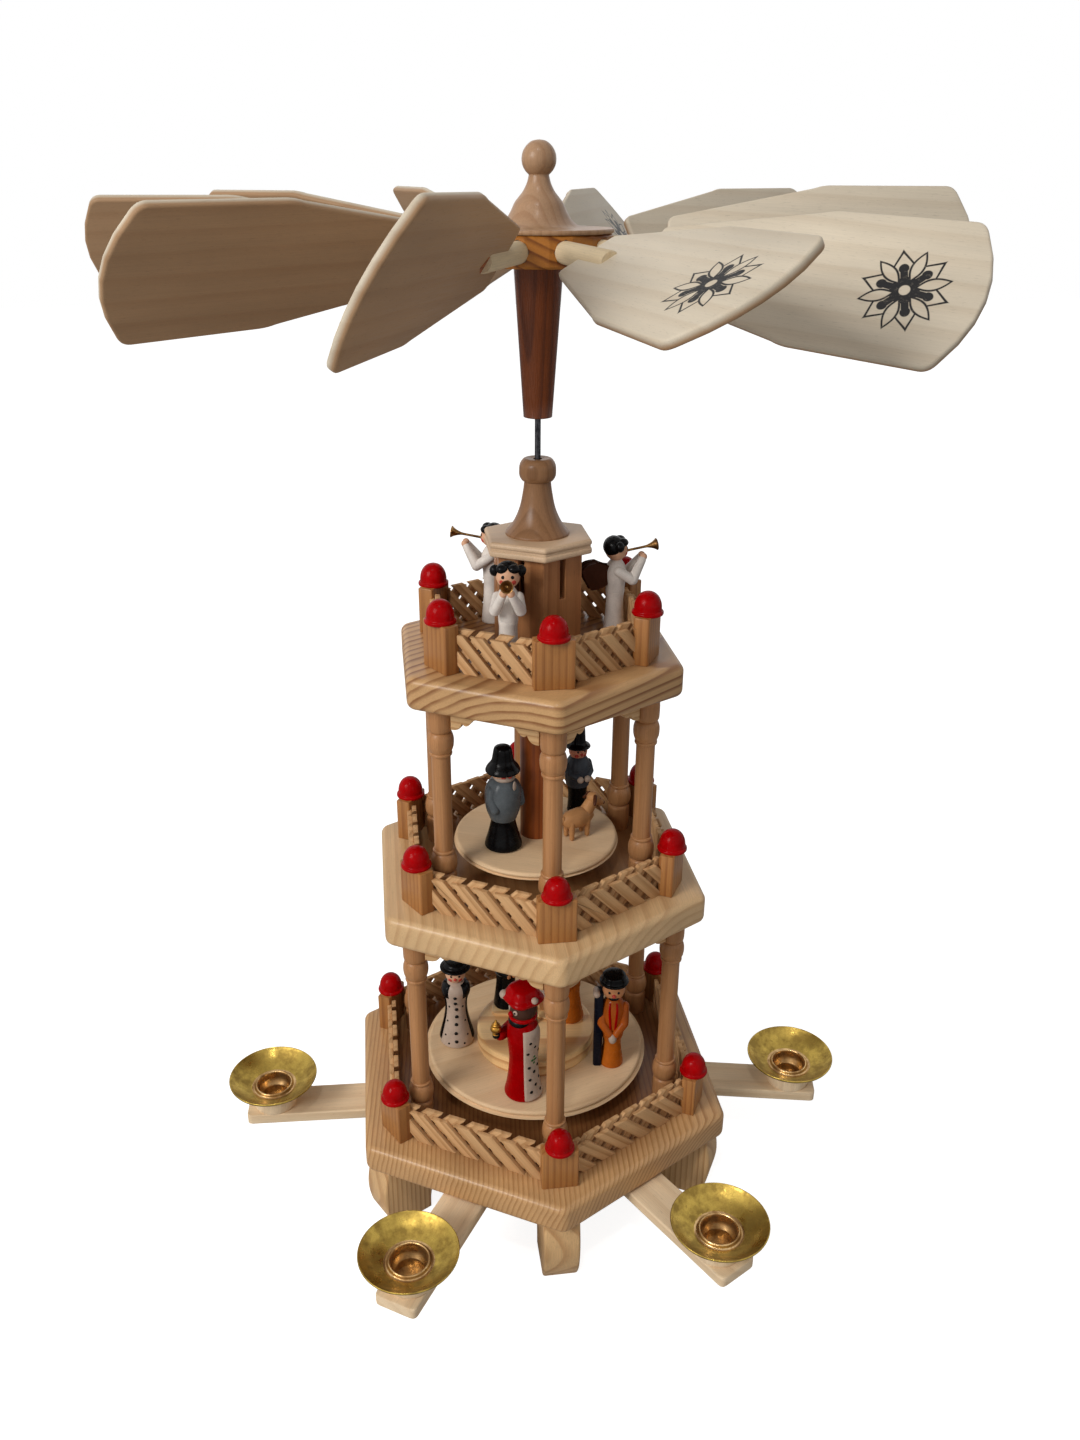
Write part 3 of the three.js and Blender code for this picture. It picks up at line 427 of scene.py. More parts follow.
def painted_inner_shade(near, far, shade_tint):
    """A finish that darkens the wood near the pyramid's middle as painted shade, where the parts above shade the board:
    all of it within the near radius, and none of it beyond the far one. Both are in metres."""
    def finish(tree, base):
        own = put(tree, "SeparateXYZ", {"Vector": put(tree, "TexCoord").outputs["Object"]})
        reach_squared = calc(tree, "ADD", *(calc(tree, "MULTIPLY", axis, axis) for axis in own.outputs[:2]))
        amount = fit(tree, reach_squared, near**2, far**2, 1.0, 0.0)
        return mix(tree, amount, base, mix(tree, 1.0, base, shade_tint, "MULTIPLY"))
    return finish


# %% The woods of the pyramid
wood("pine", tone(206, 168, 120), tone(160, 112, 66), spacing=2.2, wobble=2.0)
# The three boards are darkened near the middle with painted shade, where the storeys above them shade them.
wood("base_pine", tone(200, 157, 108), tone(152, 103, 58), spacing=1.9, wobble=1.6, dark=0.75,
     finish_to=painted_inner_shade(0.058, 0.074, tone(182, 156, 136)))
wood("pale_pine", tone(212, 176, 130), tone(176, 130, 84), spacing=4.0, wobble=2.0, dark=0.5,
     finish_to=painted_inner_shade(0.044, 0.06, tone(194, 172, 152)))
wood("bold_pine", tone(196, 154, 106), tone(120, 69, 30), spacing=3.4, wobble=2.4, dark=0.95,
     finish_to=painted_inner_shade(0.03, 0.046, tone(200, 180, 160)))
wood("platform_pine", tone(252, 212, 152), tone(196, 129, 69), spacing=4.4, wobble=2.6, dark=0.9)
wood("post_pine", tone(169, 116, 65), tone(126, 74, 34), spacing=2.0, wobble=1.6, dark=0.65)
wood("beech", tone(177, 127, 83), tone(149, 99, 59), spacing=3.6, wobble=1.5, dark=0.5, coat=0.1, rough=0.34)
wood("warm_beech", tone(167, 132, 101), tone(144, 104, 72), spacing=3.2, wobble=1.5, dark=0.6, coat=0.1, rough=0.34)
wood("roof_beech", tone(210, 180, 148), tone(188, 152, 118), spacing=3.2, wobble=1.5, dark=0.5, coat=0.05, rough=0.4)
# The spire's beech is darker than the roof's as painted shade, for the shade under the blades.
wood("spire_beech", tone(146, 106, 72), tone(116, 78, 46), spacing=3.0, wobble=1.5, dark=0.6, coat=0.1, rough=0.34)
wood("lattice", tone(204, 162, 116), tone(162, 114, 68), spacing=3.0, wobble=2.0, dark=0.7, rough=0.6, coat=0.0)
wood("birch", tone(226, 194, 154), tone(206, 168, 126), spacing=6.0, wobble=2.2, dark=0.45, fleck=0.08, rough=0.5,
     coat=0.0)
wood("arm_birch", tone(235, 210, 175), tone(213, 181, 142), spacing=5.0, wobble=2.2, dark=0.5, fleck=0.1, rough=0.55,
     coat=0.0)
wood("core", tone(150, 78, 34), tone(104, 46, 16), spacing=2.0, wobble=1.6, dark=0.85, coat=0.1, rough=0.36)
wood("lantern_wood", tone(172, 118, 76), tone(136, 84, 48), spacing=2.6, wobble=1.6, dark=0.8, coat=0.05, rough=0.36)
wood("dark_wood", tone(112, 54, 16), tone(66, 26, 6), spacing=3.4, wobble=1.5, dark=0.8, coat=0.12, rough=0.26)
wood("peg_wood", tone(214, 194, 160), tone(196, 168, 128), spacing=4.0, wobble=1.0, dark=0.5, rough=0.6, coat=0.0)
wood("hub_wood", tone(167, 106, 43), tone(92, 42, 10), spacing=2.9, wobble=1.3, dark=1.0, coat=0.1, rough=0.36,
     solid_turn=(0.3, -0.85, 0.45))
print("wood finishes:", sorted(materials))

# %% [markdown]
# ## The printed flower
#
# Every blade carries the same common folk flower on its upper face: six pale petals with dark outlines, and six
# pale leaves between them with a dark heart. Polar coordinates fold the drawing into one sixth, so one petal and one
# leaf draw all twelve. A petal is a lens, whose half width is a sine of the way along it.


# %% Folding, lenses and ink
FLOWER_PLACE, FLOWER_RADIUS = (127.9, -0.8), 13.05  # on the leaf, in millimetres
FLOWER_TURN = 0.365  # in radians
SIXTH = math.pi / 3


def fold(tree, angle, shift):
    """The angle from the nearest of six spokes: shifted, wrapped to one sixth and centred."""
    turned = calc(tree, "ADD", angle, shift)
    wrapped = put(tree, "Math", {0: turned, 1: SIXTH / 2, 2: -SIXTH / 2}, operation="WRAP").outputs[0]
    return calc(tree, "ABSOLUTE", wrapped)


def lens(tree, radius, angle, start, end, width):
    """Signed room inside a lens between two radii: its half width, a sine of the way along, less the distance
    across, and never more than the distance to either end. It is positive inside."""
    way = fit(tree, radius, start, end, 0.0, math.pi)
    half = calc(tree, "MULTIPLY", calc(tree, "SINE", way), width)
    across = calc(tree, "MULTIPLY", radius, calc(tree, "SINE", angle))
    ends = calc(tree, "MINIMUM", calc(tree, "SUBTRACT", radius, start), calc(tree, "SUBTRACT", end, radius))
    return calc(tree, "MINIMUM", calc(tree, "SUBTRACT", half, across), ends)


def hypot(tree, x, y):
    """The length of two square sides: the root of the sum of their squares."""
    return calc(tree, "SQRT", calc(tree, "ADD", calc(tree, "MULTIPLY", x, x), calc(tree, "MULTIPLY", y, y)))


def inside(tree, room, soft=0.12):
    """1 where the room is positive and 0 where it is negative, with a soft rim."""
    return fit(tree, room, -soft, soft, 0.0, 1.0)


print("flower:", 2 * FLOWER_RADIUS, "mm across the petals")


# %% The flower on a blade
def printed_flower(tree, base):
    """Lays the flower's dark ink over the wood, on the upper face alone. The ink is the leaves' outlines and hearts
    and the petals' rims, without the petals' insides and the round middle."""
    places = put(tree, "Attribute", attribute_name="leaf").outputs["Vector"]
    apart = put(tree, "SeparateXYZ", {"Vector": places})
    x = calc(tree, "SUBTRACT", apart.outputs[0], FLOWER_PLACE[0])
    y = calc(tree, "SUBTRACT", apart.outputs[1], FLOWER_PLACE[1])
    radius, angle = hypot(tree, x, y), calc(tree, "ARCTAN2", y, x)
    spoke, between = fold(tree, angle, -FLOWER_TURN), fold(tree, angle, SIXTH / 2 - FLOWER_TURN)
    r = FLOWER_RADIUS
    petal = lens(tree, radius, spoke, 0.2 * r, 1.03 * r, 0.165 * r)
    across = calc(tree, "MULTIPLY", radius, calc(tree, "SINE", between))
    narrow = calc(tree, "MULTIPLY", calc(tree, "POWER", fit(tree, radius, 0.5 * r, 1.07 * r, 1.0, 0.0), 1.15), 0.38 * r)
    leaf = calc(tree, "MINIMUM", calc(tree, "SUBTRACT", narrow, across), calc(tree, "SUBTRACT", 1.07 * r, radius))
    outline = calc(tree, "SUBTRACT", inside(tree, leaf), inside(tree, calc(tree, "SUBTRACT", leaf, 0.06 * r)))
    away = hypot(tree, calc(tree, "SUBTRACT", radius, 0.57 * r), across)
    stem = calc(tree, "MINIMUM", calc(tree, "SUBTRACT", 0.085 * r, across), calc(tree, "SUBTRACT", 0.6 * r, radius))
    heart = calc(tree, "MAXIMUM", calc(tree, "MAXIMUM", stem, calc(tree, "SUBTRACT", 0.115 * r, away)),
                 calc(tree, "SUBTRACT", 0.34 * r, radius))
    dark = calc(tree, "MAXIMUM", calc(tree, "MAXIMUM", outline, inside(tree, heart)), inside(tree, petal))
    petal_inside = inside(tree, calc(tree, "SUBTRACT", petal, 0.05 * r))
    dark = calc(tree, "MULTIPLY", dark, calc(tree, "SUBTRACT", 1.0, petal_inside))
    dark = calc(tree, "MULTIPLY", dark, inside(tree, calc(tree, "SUBTRACT", radius, 0.125 * r)))
    upper = fit(tree, apart.outputs[2], 1.0, 1.2, 0.0, 1.0)
    worn = fit(tree, noise(tree, (0.8, 1.2, 1.2), 3.0), 0.25, 0.45, 0.86, 0.99)
    ink = calc(tree, "MULTIPLY", calc(tree, "MULTIPLY", dark, upper), worn)
    # The lower face is darkened and warmed as painted shade.
    shaded_underside = mix(tree, fit(tree, apart.outputs[2], -0.6, 0.6, 1.0, 0.0), base,
               mix(tree, 1.0, base, tone(206, 176, 150), "MULTIPLY"))
    return mix(tree, ink, shaded_underside, tone(9, 9, 14))


wood("blade", tone(206, 194, 174), tone(190, 172, 148), spacing=7.0, wobble=2.2, dark=0.5, fleck=0.05, rough=0.5,
     coat=0.0, finish_to=printed_flower)
print("nodes in the blade's finish:", len(materials["blade"].node_tree.nodes))

# %% [markdown]
# ## Paint, brass and steel
#
# The figures are dipped in thick lacquer. It isn't one even colour: it pools and thins, so a slow noise lightens
# and darkens it, a finer one ripples the surface, and the gloss varies. Brass tarnishes in clouds of olive and
# brown, which are rougher than the clean metal. The rod is drawn steel with fine rings of wear.


# %% Lacquer
def lacquer(name, colour, deep=0.82, rough=0.2, gloss=0.1):
    """Glossy paint that pools and thins."""
    tree, shader = blank(name)
    pool = fit(tree, noise(tree, (0.22, 0.22, 0.22), 3.0), 0.3, 0.7, deep, 1.1)
    grit = fit(tree, noise(tree, (2.4, 2.4, 2.4), 2.0), 0.35, 0.65, 0.94, 1.04)
    body = mix(tree, 1.0, colour, shade(tree, pool), "MULTIPLY")
    tree.links.new(mix(tree, 1.0, body, shade(tree, grit), "MULTIPLY"), shader.inputs["Base Color"])
    ripple = noise(tree, (0.7, 0.7, 0.7), 2.0)
    tree.links.new(fit(tree, ripple, 0.3, 0.7, rough - 0.06, rough + 0.12), shader.inputs["Roughness"])
    shader.inputs["Specular IOR Level"].default_value = gloss
    bump(tree, shader, ripple, 0.16, 0.0003)


lacquer("red_cap", tone(164, 2, 6), rough=0.16, gloss=0.06)
lacquer("red_paint", tone(152, 1, 4), gloss=0.04)
lacquer("white_paint", tone(182, 162, 146), deep=0.9)
lacquer("gown_paint", tone(220, 212, 204), deep=0.92)
lacquer("black_paint", tone(12, 11, 12), deep=0.7)
lacquer("yellow_paint", tone(184, 96, 26))
lacquer("orange_paint", tone(172, 84, 24))
lacquer("blue_grey_paint", tone(92, 98, 102))
lacquer("slate_paint", tone(66, 72, 80))
lacquer("skin_pale", tone(214, 166, 134), deep=0.93, rough=0.32)
lacquer("skin_pink", tone(214, 146, 118), deep=0.93, rough=0.32)
lacquer("skin_tan", tone(194, 134, 92), deep=0.93, rough=0.32)
lacquer("skin_dark", tone(70, 44, 34), deep=0.9, rough=0.32)
lacquer("cheek_paint", tone(196, 78, 66), rough=0.35)
lacquer("brown_paint", tone(82, 44, 24))
lacquer("wing_paint", tone(66, 34, 20), rough=0.4)
lacquer("tan_paint", tone(180, 130, 84), rough=0.4)
lacquer("cape_paint", tone(16, 18, 30), deep=0.7)
lacquer("green_paint", tone(48, 96, 52))
print("wood and paint finishes:", len(materials))


# %% Metals
def brass(name, clean, tarnish, copper=False):
    """Clean metal under clouds of tarnish, with fine turning marks round the axis."""
    tree, shader = blank(name)
    cloud = noise(tree, (0.16, 0.16, 0.16), 5.0, 0.65)
    spots = noise(tree, (0.9, 0.9, 0.9), 3.0, 0.6)
    amount = calc(tree, "MAXIMUM", fit(tree, cloud, 0.4, 0.62, 0.0, 0.95), fit(tree, spots, 0.62, 0.7, 0.0, 0.8))
    tree.links.new(mix(tree, amount, clean, tarnish), shader.inputs["Base Color"])
    tree.links.new(fit(tree, amount, 0.0, 1.0, 0.22 if copper else 0.27, 0.52), shader.inputs["Roughness"])
    shader.inputs["Metallic"].default_value = 1.0
    marks = put(tree, "TexWave", {"Vector": board_places(tree), "Scale": 0.9, "Distortion": 0.6, "Detail": 1.0},
                wave_type="RINGS", rings_direction="X").outputs[0]
    bump(tree, shader, mix(tree, 0.4, shade(tree, marks), shade(tree, spots)), 0.12, 0.0001)


brass("brass", tone(180, 152, 74), tone(132, 108, 52))
brass("cup_brass", tone(206, 172, 122), tone(138, 104, 64), copper=True)
brass("horn_brass", tone(150, 112, 66), tone(74, 50, 30), copper=True)
brass("gold", tone(196, 150, 66), tone(136, 92, 40), copper=True)

tree, shader = blank("steel")
wear = noise(tree, (0.5, 1.5, 1.5), 4.0)
tree.links.new(mix(tree, fit(tree, wear, 0.35, 0.65, 0.0, 1.0), tone(44, 44, 48), tone(84, 84, 88)),
               shader.inputs["Base Color"])
tree.links.new(fit(tree, wear, 0.3, 0.7, 0.25, 0.5), shader.inputs["Roughness"])
shader.inputs["Metallic"].default_value = 1.0
bump(tree, shader, wear, 0.1, 0.0001)
print("finishes:", len(materials))

# %% [markdown]
# ## Plates, aprons and feet
#
# Three six-sided boards carry the storeys. A corner of each points to the front. Their edges are rolled over with a
# router, so a slab with a 3 mm quarter circle is right. Under the upper two hang scalloped aprons, sawn from thin
# board. The feet are boards on edge, with a hollow inner side and a bulged outer side.

# %% Sizes of the stand
BASE_TOP, MIDDLE_BOTTOM, MIDDLE_TOP, UPPER_BOTTOM, UPPER_TOP = 44.5, 139.7, 152.7, 237.4, 250.4
BASE_RADIUS, MIDDLE_RADIUS, UPPER_RADIUS = 90.0, 74.6, 60.0
LOWER_COLUMNS, UPPER_COLUMNS = 61.4, 46.0
PLATE_THICKNESS, FOOT_TOP, FENCE_INSET, POST_WIDTH = 13, 31.5, 15.6, 15
CORNERS = [i * 60 - 90 for i in range(6)]
APOTHEM = math.cos(math.pi / 6)  # from a hexagon's middle to its side, as a share of its radius
SCREW_RING, SOCKET_REACH = 57, 62
ARM_ANGLES = [(180, -3), (240, -2.5), (300, -0.5), (0, -12)]  # each arm's screw, and how far the arm is swung from it
print("storeys from", BASE_TOP, "to", MIDDLE_BOTTOM, "and from", MIDDLE_TOP, "to", UPPER_BOTTOM, "mm")


def six_sided(radius, corner):
    """Hexagon with round corners: each corner is a short arc about a point that lies inside it."""
    arc = np.radians(np.linspace(-30, 30, 7))
    middle = radius - corner / APOTHEM
    return np.concatenate([np.stack([middle * math.cos(a) + corner * np.cos(a + arc),
                                     middle * math.sin(a) + corner * np.sin(a + arc)], 1) for a in np.radians(CORNERS)])


def apron(ring):
    """Scalloped board: its lower edge is a smooth line through steps that mirror about the middle."""
    shares = [(0, 1), (0.05, 0.99), (0.1, 0.9), (0.135, 0.68), (0.135, 0.68), (0.17, 0.76), (0.21, 0.7), (0.26, 0.48),
              (0.26, 0.48), (0.33, 0.4), (0.42, 0.35), (0.5, 0.33)]
    half = np.array(curve(shares, 3))
    left = half * (1, -1)
    right = half[::-1][1:] * (-1, -1) + (1, 0)
    lower = np.vstack([left, right])
    length = ring - 10.2
    outline = np.vstack([(lower - (0.5, 0)) * (length, 10), [(length / 2, 0.4), (-length / 2, 0.4)]])
    board = slab(outline, -1.5, 1.5, "pine", edge=0.35, steps=2, grain=(1, 0, 0), pith=(30, 8))
    return moved([board], turn("x", 90))[0]


# %% The three boards
def storey(radius, bottom, finish, ring=None, grain=(0, 1, 0), pith=(70, 10), bore=4.0):
    """A plate with its bore, and the aprons between the columns under it. The two rims of the bore are two more rows
    of the slab's grid, which then closes on itself. The pith's second value counts from the table up."""
    outline, top = six_sided(radius, 5), bottom + PLATE_THICKNESS
    board = slab(outline, bottom, top, finish, edge=2.8, steps=5, grain=grain, pith=pith)
    rng.uniform(-1, 1, (2, 3))  # two draws are passed over, so that all later boards keep their rings
    count = len(outline)
    rows = len(board["points"]) // count
    angles = np.arctan2(outline[:, 1], outline[:, 0])
    hole = np.stack([bore * np.cos(angles), bore * np.sin(angles)], 1)
    rims = np.concatenate([np.column_stack([hole, np.full(count, z)]) for z in (top, bottom)])
    parts = [part(np.concatenate([board["points"], rims]), grid_faces(rows + 2, count, loop_rows=True), finish, grain,
                  pith)]
    if ring:
        for a in CORNERS:
            parts += moved([apron(ring)], turn("z", a + 120), turn("z", a + 30) @ (ring * APOTHEM, 0, bottom))
    return parts


screws = []
screw_line = curve([(0, 24.0), (2.4, 24.05), (3.4, 24.7), (3.6, 25.4), (3.6, 25.4), (3.6, 25.9), (3.6, 25.9),
                    (1.8, 25.9), (1.8, 25.9), (1.8, 31.8), (1.8, 31.8), (0, 31.8)], 3)
for direction, swing in ARM_ANGLES:
    screws += moved([lathe(screw_line, "steel", 24)], None, turn("z", direction) @ (SCREW_RING, 0, 0))
base_board = storey(BASE_RADIUS, FOOT_TOP, "base_pine", grain=(0.1, 1, 0.06), pith=(90, -13), bore=1.6)
piece("base_board", base_board + screws, "stand", ["base_plate"])
piece("middle_board", storey(MIDDLE_RADIUS, MIDDLE_BOTTOM, "pale_pine", LOWER_COLUMNS, pith=(60, -116)), "stand",
      ["middle_plate"])
piece("upper_board", storey(UPPER_RADIUS, UPPER_BOTTOM, "bold_pine", UPPER_COLUMNS, grain=(0.866, 0.5, 0.1),
                            pith=(40, -204)), "stand", ["upper_plate"])
print("boards:", [obj.name for obj in made])

# %% Feet
foot_line = np.vstack([
    curve([(48, 31.5), (54.5, 26), (60, 17), (62.6, 8), (63, 0)], 4),
    curve([(81, 0), (81, 0), (84.6, 7), (86.2, 15.8), (85.6, 24), (84, 31.5), (84, 31.5)], 4),
])
for number, a in enumerate(CORNERS, 1):
    board = slab(foot_line, -7.5, 7.5, "pine", edge=1.2, grain=(0, 1, 0), pith=(28, 16))
    upright = moved([board], turn("z", a) @ turn("x", 90))
    piece(f"foot_board_{number}", upright, "stand", [f"foot_{number}"])
print("stand boards and feet:", len(made))

# %% [markdown]
# ## Columns
#
# Each column is turned on a lathe: a rounded foot, a plain shaft, a thin ring, a bead and a plain block with a
# groove. A profile with a few doubled points keeps the crisp steps between the soft forms.


# %% Turned columns
def column(height):
    """Profile from the foot to the block, as pairs of radius and height."""
    foot = [(4.7, 0), (4.7, 0), (4.85, 0.8), (4.9, 5.5), (4.8, 10.2), (4.3, 11.4), (3.9, 11.8), (3.9, 11.8),
            (4.6, 12.4), (5.15, 14.0), (5.3, 16.0), (5.1, 18.0), (4.6, 19.5), (4.1, 20.3), (4.1, 20.3), (4.4, 20.6),
            (4.4, 21.3), (4.1, 21.7), (3.7, 21.8), (3.7, 21.8)]
    head = [(r - 0.15 if 12 < z < 20 else r, height - z) for r, z in foot[::-1]]
    groove = [(4.8, height - 6.6), (4.8, height - 6.6), (4.5, height - 6.3), (4.5, height - 5.9),
              (4.85, height - 5.6), (4.85, height - 5.6)]
    head[-3:-3] = groove
    line = curve([(0, 0), (0, 0)] + foot + head + [(0, height), (0, height)], 4)
    return lathe(line, "beech", 40, pith=(9, 16))


for storey_name, distance, floor, height in (("lower", LOWER_COLUMNS, BASE_TOP, MIDDLE_BOTTOM - BASE_TOP),
                                             ("upper", UPPER_COLUMNS, MIDDLE_TOP, UPPER_BOTTOM - MIDDLE_TOP)):
    for number, a in enumerate(CORNERS, 1):
        seat = turn("z", a) @ (distance, 0, floor)
        piece(f"{storey_name}_turned_column_{number}", moved([column(height)], turn("z", a + 37 * number), seat),
              "stand", [f"{storey_name}_column_{number}"])
print("with columns:", len(made))

# %% [markdown]
# ## Fences
#
# A fence has six square posts with a red cap and six lattices. A lattice is two layers of sawn strips: the outer
# layer leans one way and the inner layer leans the other, so they cross. A strip is a parallelogram, cut off where
# it would leave the room between the posts.


# %% Lattice strips
OUTER_SHARE, INNER_SHARE, LATTICE_HEIGHT = 0.67, 0.72, 16.5  # a strip's width as a share of the strips' distance


def cut(line, limit, keep_above):
    """A closed outline cut by an upright line: where a side crosses the limit, the crossing point is added."""
    sign = 1 if keep_above else -1
    kept = []
    for p, q in zip(line, line[1:] + line[:1]):
        if sign * (p[0] - limit) >= 0:
            kept.append(p)
        if (p[0] - limit) * (q[0] - limit) < 0:
            share = (limit - p[0]) / (q[0] - p[0])
            kept.append((limit, p[1] + share * (q[1] - p[1])))
    return kept


def lattice(length, count, run):
    """Outer strips fall to the right and inner strips fall to the left, and both cover the run over the height. The
    inner ones stand a little higher, so their ends make the toothed top."""
    parts = []
    pitch = length / count
    for side, depth, top in ((-1, (0.05, 2.0), LATTICE_HEIGHT - 1.7), (1, (-2.0, -0.05), LATTICE_HEIGHT)):
        lean = side * run * top / LATTICE_HEIGHT
        broad = (OUTER_SHARE if side < 0 else INNER_SHARE) * pitch
        for i in range(-9, 10):
            foot = -length / 2 + (i + (0.35 if side < 0 else 0.1)) * pitch
            line = [(foot, 0), (foot + broad, 0), (foot + broad + lean, top), (foot + lean, top)]
            line = cut(cut(line, -length / 2 - 1, True), length / 2 + 1, False)
            if len(line) > 2 and np.ptp(np.array(line)[:, 0]) > 1.2:
                parts.append(slab(line, *depth, "lattice", edge=0.3, steps=2, grain=(side * run, LATTICE_HEIGHT, 0),
                                  pith=(12, 6)))
    return moved(parts, turn("z", 90) @ turn("x", 90))


print("corners of a cut strip:", len(cut([(0, 0), (2, 0), (6, 5), (4, 5)], 5, False)))


# %% Posts and caps
def post():
    """A square post with soft edges and a small red cap: a straight collar under a round dome."""
    half = POST_WIDTH / 2
    square = round_corners([(-3.1, -half), (3.1, -half), (3.1, half), (-3.1, half)], 0.7)
    stem = slab(square, 0, 18.5, "post_pine", edge=0.4, steps=2, grain=(0, 0, 1), pith=(16, 22))
    collar = [(0, 18.2), (0, 18.2), (5.7, 18.2), (5.7, 18.2), (5.95, 18.6), (5.9, 19.4), (5.4, 19.8), (5.25, 20.2)]
    dome = [(5.25 * math.cos(t) ** 0.85, 20.5 + 6.4 * math.sin(t)) for t in np.linspace(0.1, math.pi / 2 - 0.02, 9)]
    return [stem, lathe(curve(collar + dome + [(0, 26.9)], 3), "red_cap", 36)]


for fence, plate_radius, floor, count, run in (("lower", BASE_RADIUS, BASE_TOP, 5.7, 16),
                                               ("middle", MIDDLE_RADIUS, MIDDLE_TOP, 4.8, 15),
                                               ("upper", UPPER_RADIUS, UPPER_TOP, 3.75, 15)):
    distance, parts = plate_radius - FENCE_INSET, []
    for a in CORNERS:
        parts += moved(post(), turn("z", a), turn("z", a) @ (distance, 0, floor))
        parts += moved(lattice(distance - POST_WIDTH, count, run), turn("z", a + 30),
                       turn("z", a + 30) @ (distance * APOTHEM, 0, floor))
    piece(f"{fence}_railing", parts, "stand", [f"{fence}_fence"])
    print(fence, "railing parts:", len(parts))

# %% [markdown]
# ## Candle arms and brass dishes
#
# Each arm is a flat bar with a round wooden socket near its outer end. A thin brass dish is pressed into the socket:
# its cup holds the candle, and its pan catches the wax. A lathe profile that doubles back gives the sheet a real
# thickness.

# %% Arms and dishes
bar_line = [(-14, -9), (74, -9), (74, 9), (-14, 9)]
socket_line = curve([
    (0, 30.7), (0, 30.7), (8.8, 30.7), (8.8, 30.7), (9.4, 31.6), (9.9, 34), (10.3, 37.6), (10.2, 38.8), (9.7, 39.2),
    (9.0, 39.2), (9.0, 39.2), (8.4, 38.9), (8.3, 38), (8.3, 38), (8.3, 31.4), (8.3, 31.4), (0, 31.4), (0, 31.4)], 4)
dish_line = curve([
    (0, 31.2), (0, 31.2), (7.4, 31.2), (8.0, 31.8), (8.0, 31.8), (8.0, 38.8), (8.0, 38.8), (8.5, 39.5), (10.5, 40.0),
    (15.0, 42.0), (18.4, 44.5), (19.2, 45.4), (19.4, 46.0), (19.1, 46.3), (18.7, 46.0), (17.8, 45.2), (14.6, 42.9),
    (10.4, 41.0), (9.2, 40.5), (9.2, 40.5), (8.6, 40.7), (8.2, 41.6), (7.8, 41.9), (7.4, 41.6), (7.2, 40.8),
    (7.2, 40.8), (7.0, 38), (5.6, 35.5), (5.6, 35.5), (5.4, 32.2), (5.4, 32.2), (0, 32.0), (0, 32.0)], 4)
cup_start = 58  # the profile's point where the pan ends and the cup, of redder brass, begins
for number, (direction, swing) in enumerate(ARM_ANGLES, 1):
    heading, arm = turn("z", direction + swing), f"candle_arm_{number}"
    screw = turn("z", direction) @ (SCREW_RING, 0, 0)
    bar = slab(round_corners(bar_line, 2.4), 26.2, 31.2, "arm_birch", edge=0.6, grain=(1, 0, 0), pith=(40, 26))
    socket = moved([lathe(socket_line, "arm_birch", 48, pith=(12, 10))], None, (SOCKET_REACH, 0, 0))
    piece(f"swing_arm_{number}", moved([bar] + socket, heading, screw), arm, [arm])
    pan = lathe(dish_line[:cup_start], "brass", 64, pith=(0, 0))
    cup = lathe(dish_line[cup_start - 1:], "cup_brass", 64, pith=(0, 0))
    dish = moved([pan, cup], turn("z", 70 * number), (SOCKET_REACH, 0, 0))
    piece(f"brass_dish_{number}", moved(dish, heading, screw), arm, [f"candle_dish_{number}"])
print("with arms and dishes:", len(made))

# %% [markdown]
# ## Rod, tables and lantern
#
# The rod, the round tables, the sleeve, the hub and the finial turn together. All are turned wood apart from the
# steel rod. The lantern stays with the stand: six boards with a slot sawn down from the top, under a six-sided
# roof with a turned spire.

# %% Rod and tables
rod_line = curve([(0, 41.9), (0, 41.9), (1.1, 44.8), (1.1, 44.8), (1.1, 397.9), (1.1, 397.9), (0, 397.9)], 3)
piece("steel_rod", [lathe(rod_line, "steel", 24)], "rotor", ["rod"])


def table(radius, top):
    """A thin disc with a rounded rim over a small boss, as a closed profile round the rod's bore."""
    low = top - 2.6
    return curve([
        (1.4, low - 4.5), (1.4, low - 4.5), (7.2, low - 4.5), (8.0, low - 3.8), (8.0, low), (8.0, low),
        (radius - 1.6, low), (radius - 0.5, low + 0.5), (radius, low + 1.4), (radius - 0.25, top - 0.5),
        (radius - 0.9, top - 0.05), (radius - 1.8, top), (radius - 1.8, top), (1.4, top), (1.4, top),
        (1.4, low - 4.5)], 4)[:-1]


LOWER_FLOOR, PLATFORM, UPPER_FLOOR = 57.6, 65.6, 165.8  # the floors that the figures stand on
platform_line = curve([(1.6, 57.4), (1.6, 57.4), (26.1, 57.4), (26.1, 57.4), (26.3, 58.4), (26.3, 64.4), (25.9, 65.3),
                       (25.0, PLATFORM), (25.0, PLATFORM), (1.6, PLATFORM), (1.6, PLATFORM), (1.6, 57.4)], 4)[:-1]
core_line = curve([(1.6, 165.6), (1.6, 165.6), (6.6, 165.6), (6.6, 165.6), (6.6, 235.4), (6.6, 235.4), (6.1, 235.9),
                   (1.6, 235.9), (1.6, 235.9), (1.6, 165.6)], 4)[:-1]
piece("lower_round_table", [lathe(table(48.6, LOWER_FLOOR), "birch", 96, True, (60, 30), (1, 0.3, 0)),
                            lathe(platform_line, "platform_pine", 72, True, (26, 22), (1, -0.12, 0))], "rotor",
      ["lower_turntable"])
piece("upper_round_table", [lathe(table(33.9, UPPER_FLOOR), "birch", 96, True, (60, 30), (1, -0.4, 0)),
                            lathe(core_line, "core", 40, True, (8, 12))], "rotor", ["upper_turntable"])
print("table floors at", LOWER_FLOOR, "and", UPPER_FLOOR, "mm, platform at", PLATFORM, "mm")

